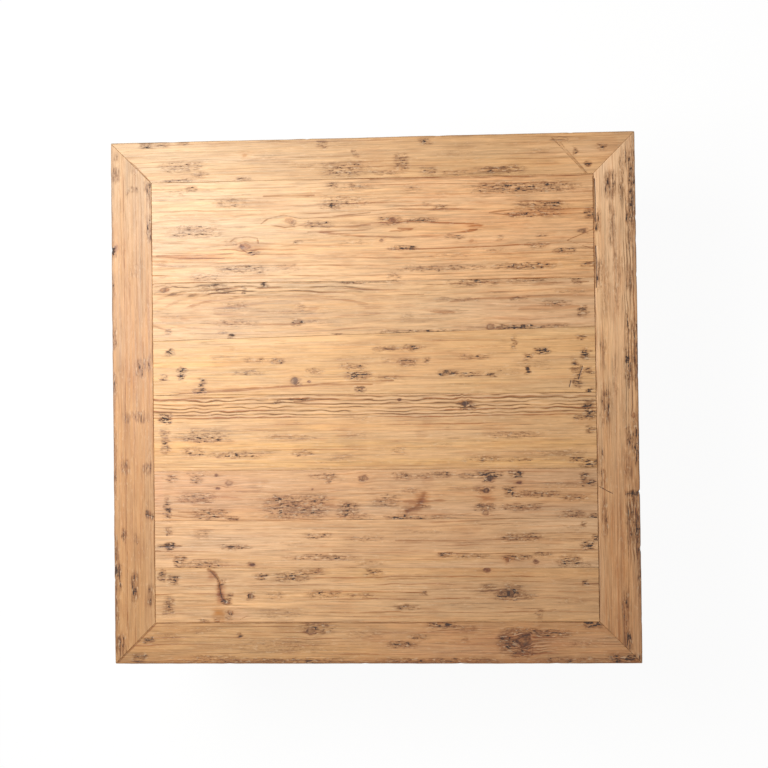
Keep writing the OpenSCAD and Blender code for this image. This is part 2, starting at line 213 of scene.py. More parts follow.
# Dark residue left in the grain: from and to along the piece, place and half-height across, all
# in hundredths, and how thick it lies
RESIDUE = {
    "plank_1": [
        (14.7, 16.6, 9.2, 0.4, 0.85), (11, 14.4, 9.9, 0.5, 0.5), (19.9, 26.4, 12.1, 0.8, 0.62),
        (11.4, 21.5, 17.4, 1.2, 0.7), (12.5, 17, 16.6, 0.4, 0.7), (40.6, 44, 13.1, 0.5, 0.9),
        (39.7, 50, 12.2, 1.1, 0.6), (41.6, 44, 9.0, 0.6, 0.75), (44, 50, 9.4, 0.5, 0.6),
        (34.6, 35.6, 16.2, 0.6, 0.6), (36.8, 43, 16.4, 0.5, 0.7), (35.1, 36.8, 19.8, 0.3, 0.8),
        (19.9, 31, 24.8, 0.7, 0.7), (31.6, 36.1, 24.6, 0.6, 0.55), (15, 22, 26.2, 0.7, 0.6),
        (56, 60, 10, 0.8, 0.5), (69, 89.5, 10.2, 0.9, 0.86), (73.8, 79, 10.1, 0.6, 1.0),
        (60, 62, 13.0, 0.3, 0.6), (61.5, 64.7, 13.8, 0.4, 0.7), (77, 87.5, 13.8, 0.9, 0.72),
        (82.9, 86.4, 13.5, 0.5, 0.95), (75, 86, 15.4, 0.4, 0.8), (90.5, 92.2, 15.2, 1.1, 0.9),
        (51.5, 56, 16.0, 0.8, 0.75), (56, 62.7, 16.1, 0.35, 0.85), (64.4, 68, 19.3, 0.35, 0.8),
        (73.8, 75, 19.7, 0.3, 0.7), (81, 83.8, 19.4, 0.3, 0.7), (53.3, 58.5, 21.3, 0.3, 1.1),
        (79.6, 83.8, 21.3, 0.45, 0.8), (71, 76, 22.1, 0.3, 0.5), (84.5, 88.7, 22.3, 0.45, 0.75),
        (54.6, 73, 25.2, 0.4, 0.66), (73, 85, 25.1, 0.5, 0.88), (89.7, 92.3, 25.0, 0.35, 0.85),
        (53, 55.6, 26.5, 0.8, 0.6), (26.5, 28.4, 21.7, 0.3, 0.8), (22, 24.5, 19.8, 0.5, 0.5),
        (9, 11, 23.6, 0.4, 0.5), (44, 50, 20.0, 0.4, 0.45), (60, 70, 22.9, 0.3, 0.45),
    ],
    "plank_2": [
        (29, 30.2, 27.6, 0.4, 1.15), (19.2, 20.3, 27.6, 0.35, 0.9), (44, 50, 27.5, 0.35, 0.85),
        (50, 56, 27.4, 0.3, 0.75), (16, 24, 28.4, 0.8, 0.6), (64, 75, 28.0, 0.7, 0.66),
        (68, 71.5, 27.9, 0.5, 0.85), (75, 84.5, 27.8, 0.4, 0.66), (87.7, 89.4, 27.8, 0.7, 0.9),
        (21.2, 26.4, 31.8, 1.2, 0.5), (35.5, 37.4, 32.3, 0.7, 0.62), (19.9, 28.3, 35.0, 0.6, 0.6),
        (34.8, 36.9, 35.1, 0.5, 0.95), (37, 43, 35.0, 0.3, 0.5), (10.3, 11.5, 36.5, 0.45, 0.75),
        (22.5, 23.9, 37.6, 0.4, 0.95), (20.5, 22, 36.8, 0.3, 0.6), (42.6, 44.3, 37.8, 0.4, 0.8),
        (61.4, 71.8, 31.2, 0.35, 0.5), (76.4, 79.6, 31.2, 0.3, 0.7), (81.6, 88, 32.2, 0.4, 0.7),
        (89, 90.8, 33.8, 0.9, 0.95), (55.6, 58.2, 34.4, 0.9, 0.45), (73, 83, 36.7, 0.4, 1.0),
        (83, 88, 36.6, 0.3, 0.66), (50, 69.2, 37.3, 0.4, 0.72), (55.6, 65.3, 37.3, 0.3, 0.9),
        (25, 25.7, 28.8, 0.7, 0.75), (30, 42, 33.2, 0.4, 0.4), (9, 14, 33.5, 0.4, 0.4),
        (84, 91, 30.0, 0.3, 0.5), (60, 68, 33.6, 0.4, 0.4),
    ],
    "plank_3": [
        (10.3, 11.9, 40.5, 0.5, 1.0), (25, 30.6, 42.2, 0.35, 0.7), (30.6, 33.2, 42.4, 0.4, 0.85),
        (12.7, 14.2, 44.6, 1.2, 1.0), (9.2, 10.5, 45.4, 0.6, 0.75), (23.4, 29, 44.5, 0.35, 0.75),
        (37.4, 40.6, 44.4, 0.4, 0.7), (16.7, 18, 46.6, 0.9, 0.85), (15.8, 18.2, 47.9, 0.4, 0.9),
        (34.5, 36.2, 46.5, 0.8, 0.75), (44.9, 49.5, 45.4, 0.6, 1.1), (46.8, 48.4, 47.9, 0.5, 1.0),
        (43.9, 49, 43.6, 0.6, 0.72), (8.5, 13, 49.1, 0.3, 0.7), (88.4, 90.4, 38.7, 0.4, 0.85),
        (76.4, 77.3, 39.6, 1.2, 0.75), (50.4, 55, 40.3, 0.35, 0.66), (55.6, 59.2, 40.3, 0.4, 0.9),
        (80.8, 83.4, 41.2, 0.5, 1.15), (78.6, 80.4, 42.2, 0.5, 1.1), (79, 79.8, 44.7, 0.6, 1.1),
        (51.7, 54, 42.5, 0.4, 0.5), (54.6, 59, 43.0, 0.7, 0.72), (59.8, 60.8, 42.7, 0.5, 0.8),
        (66.3, 72.8, 42.1, 0.3, 0.75), (89.3, 91.1, 41.8, 0.9, 1.15), (87.4, 88.7, 44.2, 1.7, 0.8),
        (88.2, 89.5, 45.5, 1.3, 0.8), (90, 91.4, 45.1, 0.7, 0.85), (62.7, 66.2, 45.2, 0.35, 1.1),
        (66.2, 71, 45.4, 0.3, 0.75), (71.5, 73.2, 45.5, 0.35, 1.0), (50.4, 55.6, 45.8, 0.35, 0.62),
        (87.8, 89.4, 47.5, 0.6, 0.95), (90.5, 92.2, 49.0, 0.6, 1.1), (72, 78, 45.0, 0.9, 0.4),
        (76, 84, 43.4, 0.8, 0.4), (18, 24, 41.6, 0.3, 0.4),
    ],
    "plank_4": [
        (8.8, 11.4, 53.2, 0.9, 1.1), (9.2, 10.8, 57.6, 2.4, 0.85), (12.4, 23, 56.2, 1.0, 0.6),
        (13, 22.8, 57.1, 0.5, 0.86), (13, 17.9, 59.6, 0.8, 0.72), (17.9, 30.3, 60.2, 0.5, 0.7),
        (20.5, 25, 60.4, 0.4, 0.9), (34.2, 38.7, 60.0, 0.4, 0.72), (28.3, 40.6, 57.0, 0.5, 0.5),
        (66.3, 69.5, 51.2, 0.7, 1.0), (89.6, 91.7, 52.4, 1.7, 1.12), (88, 90, 53.7, 0.4, 0.95),
        (90, 91.7, 56.1, 0.6, 0.95), (71.5, 82.2, 56.9, 0.6, 0.62), (53.3, 56.2, 59.7, 0.7, 0.5),
        (67.3, 75, 61.4, 0.5, 0.72), (75, 80, 61.6, 0.4, 0.6), (77, 91.5, 60.4, 0.6, 0.45),
        (86.8, 90, 61.6, 0.5, 0.85), (89.2, 92.2, 62.5, 0.8, 1.05), (44, 50, 56.6, 0.4, 0.4),
        (34, 38, 49.8, 0.3, 0.7), (31, 33, 50.1, 0.25, 0.7), (45, 50, 53.6, 0.4, 0.45),
        (60, 66, 58.6, 0.4, 0.35), (41, 46, 61.2, 0.4, 0.45),
    ],
    "plank_5": [
        (10.5, 12.4, 64.6, 0.6, 0.8), (15, 17.1, 64.8, 0.8, 0.82), (13, 19, 63.8, 0.3, 0.6),
        (38, 43.3, 64.4, 0.5, 0.72), (41, 42, 65.0, 0.8, 0.85), (47.5, 48.9, 65.1, 0.4, 0.85),
        (12.4, 20, 68.3, 0.9, 0.7), (14.5, 19, 68.9, 0.5, 0.8), (9.8, 10.9, 70.3, 2.0, 0.9),
        (28.6, 41.4, 70.2, 2.3, 0.82), (30.4, 32.4, 68.6, 0.7, 1.0), (38.2, 41.4, 68.9, 0.6, 0.85),
        (43, 47.2, 70.9, 1.5, 0.88), (44, 46.6, 70.0, 0.5, 0.9), (15, 22.8, 71.5, 0.9, 0.78),
        (22.4, 24.2, 72.3, 0.3, 0.9), (46, 50, 72.2, 0.4, 0.7), (53.3, 57.5, 64.5, 0.5, 0.72),
        (60.8, 65.7, 64.2, 0.4, 0.95), (57.5, 61, 64.4, 0.4, 0.66), (69.2, 74.1, 64.4, 0.6, 1.1),
        (70.8, 73, 65.2, 0.5, 1.0), (75.7, 78.1, 64.3, 0.6, 1.1), (66, 69, 64.6, 0.4, 0.7),
        (89, 91.7, 66.0, 0.5, 1.1), (89, 90.4, 64.9, 0.8, 0.95), (68.9, 72.8, 67.2, 0.6, 0.72),
        (74.4, 76.5, 67.7, 0.8, 1.1), (76.4, 85, 68.1, 0.5, 0.9), (85, 90.6, 68.8, 0.5, 0.7),
        (55, 59, 67.3, 0.5, 0.55), (50, 55, 69.2, 1.2, 0.66), (68.9, 72.9, 70.5, 0.6, 0.95),
        (73.8, 81.6, 70.5, 0.5, 0.85), (58.6, 61, 70.3, 0.3, 0.75), (52, 59.8, 72.4, 0.4, 0.95),
        (59.8, 66, 72.3, 0.3, 0.6), (84.5, 89.8, 71.8, 0.6, 0.78), (90.5, 91.7, 72.4, 0.5, 1.0),
        (26, 29, 66.4, 0.6, 0.35), (64, 68, 66.8, 0.5, 0.35), (81, 90, 66.4, 0.7, 0.4),
        (54, 58, 70.9, 0.5, 0.5),
    ],
    "plank_6": [
        (10, 11.2, 74.7, 0.6, 0.85), (15.3, 19.2, 75.4, 1.0, 0.5), (36.4, 42, 75.7, 0.45, 0.75),
        (44, 52, 76.3, 0.4, 0.6), (10.2, 11.5, 77.6, 0.7, 1.2), (8.4, 13, 77.6, 0.25, 0.7),
        (20.8, 26.2, 77.8, 0.45, 0.8), (11.4, 13.8, 80.4, 1.0, 0.95), (13.8, 21.5, 80.9, 0.7, 0.72),
        (32.5, 47.2, 79.8, 0.4, 0.75), (25.9, 26.9, 81.1, 0.5, 0.8), (73.8, 82, 76.2, 0.7, 0.82),
        (88.9, 91.6, 77.8, 0.7, 1.0), (91.1, 92.2, 76.4, 0.5, 1.05), (62, 64.7, 79.4, 0.3, 0.9),
        (64.7, 72, 79.7, 0.35, 0.66), (74, 79.8, 80.0, 0.5, 0.85), (84.2, 88.8, 80.8, 1.0, 0.9),
        (88.6, 89.8, 74.0, 0.5, 0.7), (80, 84, 79.4, 0.3, 0.75), (55, 64, 75.0, 0.4, 0.4),
        (30, 38, 77.2, 0.4, 0.35), (84, 90, 74.6, 0.5, 0.4), (46, 52, 80.9, 0.3, 0.5),
        (11, 21, 81.8, 0.25, 0.8), (84, 92, 81.2, 0.3, 0.6),
    ],
    "plank_7": [
        (8.5, 9.9, 83.2, 1.2, 0.95), (10.5, 12.7, 83.9, 0.8, 0.95), (27, 29.4, 83.4, 0.5, 0.85),
        (30.3, 37.5, 83.5, 0.7, 0.9), (34, 41, 82.5, 0.4, 0.7), (48.2, 50.6, 82.6, 0.5, 0.85),
        (20.8, 21.6, 84.4, 0.5, 0.85), (21.7, 22.9, 87.2, 0.7, 0.85), (20.8, 22.6, 88.2, 0.4, 1.0),
        (25.4, 26.8, 87.1, 0.7, 0.7), (36.8, 44, 86.7, 0.7, 0.75), (29, 33, 87.0, 0.8, 0.5),
        (44, 50, 87.0, 0.4, 0.6), (9.5, 11.5, 89, 1.9, 0.72), (21.4, 23, 90.8, 0.8, 0.6),
        (16.5, 18, 91.8, 0.3, 0.85), (19, 20, 91.8, 0.3, 0.7), (28, 37, 90.4, 0.8, 0.45),
        (72.8, 77.8, 86.9, 1.0, 1.0), (69.5, 73, 85.8, 0.8, 0.66), (74, 78, 85.4, 0.5, 0.7),
        (77.5, 80.5, 87.4, 0.5, 0.6), (89, 90.1, 84.9, 0.35, 0.95), (58.9, 59.7, 86.6, 0.3, 0.8),
        (53, 58.2, 89.3, 0.4, 0.7), (80.3, 81.7, 90.7, 0.8, 0.7), (62, 70, 88.8, 0.3, 0.4),
        (49.5, 52, 82.8, 0.5, 0.66), (84, 90, 88.2, 0.4, 0.4),
    ],
    "frame_back": [
        (5.6, 8.6, 0.7, 0.5, 1.0), (8.8, 11.4, 0.6, 0.4, 0.75), (13, 15.2, 0.4, 0.4, 0.7),
        (39.7, 42, 1.2, 0.7, 0.78), (46.5, 47.6, 3.0, 0.6, 0.75), (9.8, 18, 5.0, 1.0, 0.66),
        (40.6, 50, 6.0, 1.4, 0.7), (41.5, 46, 6.2, 0.8, 0.8), (9.8, 16.6, 7.6, 0.3, 0.75),
        (24.4, 27.4, 7.6, 0.3, 0.75), (59.4, 62, 1.1, 0.6, 0.75), (54.8, 57.2, 4.9, 1.6, 0.75),
        (50, 55, 6.9, 0.4, 0.7), (59.5, 63, 6.8, 0.6, 0.66), (70.2, 79.4, 6.8, 0.6, 0.82),
        (63, 70, 7.2, 0.4, 0.5), (88.2, 89.1, 3.6, 0.6, 0.85), (93.2, 94.6, 2.9, 0.5, 0.85),
        (90.7, 91.8, 6.1, 0.5, 1.0), (84, 88, 1.4, 0.4, 0.62), (27, 33, 3.4, 0.5, 0.35),
        (16, 19, 6.4, 0.4, 0.6), (64, 70, 3.4, 0.5, 0.4), (34, 40, 5.2, 0.5, 0.4),
        (79, 84, 3.4, 0.6, 0.35),
    ],
    "frame_front": [
        (35.8, 42, 93.2, 1.0, 0.8), (5.8, 7.6, 95.4, 0.5, 1.05), (23.4, 24.6, 94.5, 0.4, 0.85),
        (7.6, 12, 94.6, 0.4, 0.5), (22, 42, 96.6, 1.4, 0.42), (36, 38.2, 99.5, 0.4, 1.0),
        (10, 48, 99.4, 0.4, 0.66), (59.5, 65.4, 92.7, 0.5, 0.95), (65, 70, 93.4, 0.4, 0.55),
        (89.4, 92.4, 92.5, 0.6, 1.15), (73.1, 76.4, 96.0, 1.6, 0.9), (79.6, 86.9, 94.3, 0.6, 0.85),
        (73.6, 82, 93.9, 0.6, 0.88), (52, 58, 96.3, 0.6, 0.75), (56, 60, 94.9, 0.4, 0.66),
        (66.5, 68, 95.4, 0.4, 0.6), (75.4, 79.8, 97.6, 1.1, 0.86), (3.5, 6, 98.8, 0.7, 0.85),
        (14, 24, 98.8, 0.5, 0.6), (93.5, 99.5, 99.0, 0.7, 1.05), (50, 74, 99.4, 0.4, 0.75),
        (80, 93, 99.2, 0.4, 0.66), (44, 52, 94.4, 0.6, 0.45), (86, 92, 96.2, 0.6, 0.5),
        (12, 22, 93.6, 0.5, 0.4),
    ],
    "frame_left": [
        (4.9, 7.6, 1.0, 0.7, 0.85), (1.8, 3.4, 1.2, 0.4, 0.6), (7.8, 9.8, 7.3, 0.6, 0.95),
        (8.8, 9.8, 4.2, 1.1, 0.75), (14, 18.9, 7.4, 0.5, 0.8), (20, 21.7, 0.2, 0.6, 1.15),
        (22, 26.5, 4.4, 1.3, 0.4), (35.6, 39.8, 0.4, 0.4, 0.85), (41, 44.4, 6.9, 0.9, 0.62),
        (41.3, 45.2, 5.3, 0.7, 0.8), (51.8, 53.6, 4.6, 3.0, 0.55), (51.7, 53.8, 5.5, 0.5, 0.85),
        (61, 64, 2.2, 0.8, 0.66), (61.7, 63.7, 6.6, 0.7, 0.7), (70.8, 72.1, 6.9, 0.7, 0.9),
        (74, 76.8, 2.0, 0.4, 0.7), (75.2, 76.8, 4.3, 0.4, 0.66), (82.4, 87.8, 3.9, 0.6, 0.95),
        (80.4, 86, 0.6, 0.7, 1.0), (76, 80.4, 0.4, 0.3, 0.8), (84.8, 89.2, 7.0, 0.5, 0.72),
        (94, 98, 1.1, 0.9, 0.85), (97.6, 99.6, 2.6, 1.8, 0.8), (86, 94, 0.5, 0.4, 0.66),
        (25, 30, 0.4, 0.3, 0.55), (44, 50, 0.4, 0.3, 0.7), (54, 70, 0.3, 0.3, 0.62),
        (30, 34, 6.8, 0.5, 0.4), (3.6, 6.2, 4.4, 0.7, 0.4), (9.5, 13, 7.3, 0.3, 0.66),
    ],
    "frame_right": [
        (7.8, 13, 95.2, 1.1, 0.88), (13, 22, 95.4, 0.7, 0.66), (20, 35, 96.2, 0.6, 0.55),
        (22, 36, 94.0, 0.9, 0.5), (24, 30, 93.0, 0.4, 0.8), (4, 14, 97.4, 0.5, 0.7),
        (14.5, 19, 92.8, 0.4, 0.9), (1.8, 20, 99.2, 0.5, 0.95), (18.5, 22, 98.7, 0.5, 0.8),
        (2.5, 7, 98.2, 0.4, 0.75), (12, 18, 98.4, 0.3, 0.8), (25, 30, 98.6, 0.6, 0.66),
        (34, 41, 98.2, 0.3, 0.8), (41, 47.8, 98.1, 0.6, 1.05), (34, 49, 99.5, 0.5, 0.8),
        (38, 45, 93.5, 0.6, 0.5), (42, 50, 95.6, 0.4, 0.5), (47, 55.6, 93.8, 0.9, 0.7),
        (50.2, 55.4, 94.0, 0.6, 0.8), (54.8, 60, 98.6, 1.1, 0.86), (54, 63, 99.5, 0.5, 0.98),
        (59.6, 63, 92.9, 0.4, 0.7), (63, 67, 93.2, 0.5, 0.75), (67.6, 68.6, 98.6, 1.2, 1.15),
        (68.8, 76.6, 93.3, 0.5, 0.7), (68.8, 77.3, 98.6, 1.1, 0.9), (70, 78, 99.4, 0.5, 1.0),
        (78, 88, 99.6, 0.3, 0.75), (93.4, 97.6, 97.3, 0.6, 1.0), (86, 93.4, 97.0, 0.5, 0.7),
        (98.2, 99.7, 97.8, 1.9, 1.0), (78.5, 79.6, 99.7, 0.4, 1.2), (60, 66, 97.8, 0.6, 0.6),
    ],
}

# Cracks and scribed lines: points in hundredths, width and depth in millimetres
CRACKS = {
    "plank_3": [
        ([(89.6, 44.2), (89.1, 45.6), (88.8, 46.6)], 2.2, 0.7),
        ([(87.4, 46.8), (87.1, 48.0)], 2.2, 0.6),
    ],
    "plank_6": [
        ([(8.4, 77.5), (10.4, 77.6), (12.4, 77.7)], 1.4, 0.6),
        ([(91.2, 76.8), (92.1, 76.2)], 1.8, 0.5), ([(89.2, 78.2), (90.6, 77.4)], 1.6, 0.5),
    ],
    "plank_7": [
        ([(18.5, 82.2), (19.8, 83.6), (20.3, 84.6)], 1.8, 0.9),
        ([(20.3, 84.9), (20.5, 86.4), (20.8, 87.6), (21.6, 88.3)], 2.2, 1.4),
    ],
    "frame_back": [([(84.5, 1), (90.6, 7.7)], 0.9, 0.3), ([(86.1, 2), (91, 7.7)], 0.8, 0.3)],
    "frame_left": [([(71.4, 6.2), (71.9, 7.9)], 1.8, 0.7)],
    "frame_right": [
        ([(66.8, 92.4), (67.6, 93.8), (68.2, 95.0)], 1.6, 0.8),
        ([(68.3, 97.4), (68.1, 98.8), (67.7, 100.0)], 2.4, 1.2),
        ([(8.9, 92.4), (13, 92.45), (17, 92.4)], 2.6, 1.2),
        ([(21.6, 92.35), (24, 92.45), (29.4, 92.5)], 2.6, 1.2),
        ([(3.2, 99.3), (17, 99.4)], 1.3, 0.6), ([(19, 99.4), (27, 99.3)], 1.2, 0.5),
        ([(40, 99.5), (49, 99.5)], 1.5, 0.7), ([(44, 98.1), (48.5, 98.2)], 1.3, 0.6),
    ],
}

# Brown lines: resin in the grain and other marks, and, where they follow the seams round the panel
# (each board's line at 92 hundredths along, plank_1's line at 8 across, and the long lines at the
# panel's edge on the frame members), dirt and painted shade: points in hundredths, width in
# millimetres
VEINS_AND_SEAM_SHADE = {
    "plank_1": [
        ([(13, 22.6), (17, 22.5), (22, 22.6)], 1.8), ([(21, 15.3), (25, 15.1), (29, 15.2)], 1.8),
        ([(29.6, 10.9), (39.3, 10.8)], 2.8), ([(38, 17.9), (50, 17.7)], 2.4),
        ([(23, 19.5), (24, 18.8), (26.5, 18.5), (28.3, 18.9), (28.5, 19.8)], 2.8),
        ([(25.0, 19.8), (25.2, 20.8), (26.2, 21.6), (27.8, 22.1)], 2.4),
        ([(29, 16.2), (30.4, 15.2), (33.5, 14.6), (37, 15.3), (44, 14.9), (50, 14.5)], 2.4),
        ([(31, 16.4), (33.6, 16.9), (37, 16.5), (42, 17.0), (50, 16.8)], 2.4),
        ([(72.5, 14.9), (78, 14.2), (86, 14.6), (91, 14.3)], 2.2),
        ([(72.5, 15.0), (79, 15.7), (86, 15.4), (91, 15.3)], 2.0),
        ([(92, 18.4), (87, 20.4), (92, 22.1)], 1.8), ([(8.8, 21.9), (16, 22.0), (23.8, 21.7)], 2.4),
        # Dirt and painted shade along the back seam and down the board's right end
        ([(50, 8.15), (70, 8.1), (91.8, 8.15)], 2.6), ([(92.05, 8.6), (92.05, 26.6)], 2.6),
    ],
    "plank_2": [
        ([(8, 29.2), (14, 29.4), (24, 29.3)], 1.6), ([(30, 30.2), (46, 30.3), (60, 30.2)], 1.4),
        # The line at 92.1 along is dirt and painted shade down the board's right end
        ([(29, 38.2), (32, 38.0), (34, 37.9)], 2.2), ([(92.1, 27.4), (92.1, 37.4)], 2.4),
        ([(50, 27.6), (62, 28.4), (70, 28.0), (80, 28.5), (91, 28.2)], 1.8),
    ],
    "plank_3": [
        ([(13, 48.4), (24, 48.0), (36, 47.1), (44, 46.6), (54, 46.4)], 2.8),
        ([(11, 48.7), (18, 48.0), (26, 47.6), (34, 47.2), (42, 47.0), (50, 47.1)], 2.8),
        # Dirt and painted shade down the board's right end
        ([(92.1, 38.4), (92.1, 48.6)], 2.2),
    ],
    "plank_4": [
        # The line at 92.1 along is dirt and painted shade down the board's right end
        ([(50, 58.0), (62, 57.8), (80, 58.4)], 1.2), ([(92.1, 49.8), (92.1, 62.4)], 2.2),
        ([(8, 49.6), (20, 49.3), (30, 49.7)], 2.0), ([(35, 50.3), (42, 49.8), (50, 49.9)], 2.2),
    ],
    "plank_5": [
        ([(59.5, 68.0), (59.0, 69.3), (58.2, 70.3)], 12.5),
        ([(58.6, 69.9), (57.4, 70.7), (56.2, 71.2)], 7.0), ([(12.5, 71.0), (16, 71.1)], 2.2),
        # The line at 92.1 along is dirt and painted shade down the board's right end
        ([(22, 72.4), (24, 72.4)], 2.6), ([(92.1, 63.4), (92.1, 72)], 2.2),
    ],
    "plank_6": [
        ([(8.2, 77.5), (13.2, 77.6)], 2.2), ([(54, 76.7), (66, 76.8), (80, 76.4), (92, 76.6)], 2.2),
        ([(62, 79.1), (70, 79.3), (82, 79.1), (92, 79.2)], 2.2), ([(42, 78.4), (46.5, 78.4)], 1.8),
        # Dirt and painted shade down the board's right end
        ([(92.1, 73.4), (92.1, 81)], 2.2),
    ],
    "plank_7": [
        ([(18.2, 82.0), (19.3, 82.7), (20.1, 84.0), (20.4, 85.0)], 6.0),
        ([(20.3, 84.6), (20.4, 86.2), (20.9, 87.6), (22.0, 88.5)], 9.0),
        # The line at 92.1 along is dirt and painted shade down the board's right end
        ([(92.1, 82.4), (92.1, 91.4)], 2.2), ([(50, 84.0), (62, 83.9)], 1.6),
        ([(64, 84.6), (72, 84.3), (84, 84.7)], 1.6), ([(55, 86.0), (70, 85.8)], 1.6),
        ([(50, 87.6), (60, 87.8), (68, 87.6)], 1.4), ([(58, 89.6), (72, 89.3), (84, 89.8)], 1.6),
        ([(24, 91.6), (25.5, 90.9), (27.5, 90.8), (31, 91.3)], 1.6),
    ],
    "frame_back": [
        ([(2.6, 2.9), (4.8, 4.5), (7.7, 7.7)], 2.6), ([(84.5, 1), (90.6, 7.7)], 2.4),
        ([(86.1, 2), (91, 7.7)], 2.0),
    ],
    "frame_front": [
        # The line at 92.25 across is dirt and painted shade along the seam with the panel
        ([(58, 94.2), (66, 93.4), (73, 93.2)], 1.6), ([(8, 92.25), (92, 92.25)], 2.2),
        ([(0.7, 99.6), (8.0, 92.3)], 3.0),
    ],
    "frame_left": [
        ([(2, 2.4), (30, 2.6), (60, 2.5), (97, 2.6)], 1.6),
        # Dirt and painted shade along the seam with the panel
        ([(8, 7.75), (50, 7.75), (91, 7.75)], 1.8),
    ],
    # Dirt and painted shade along the seam with the panel
    "frame_right": [([(8, 92.2), (50, 92.2), (92, 92.2)], 1.8)],
}

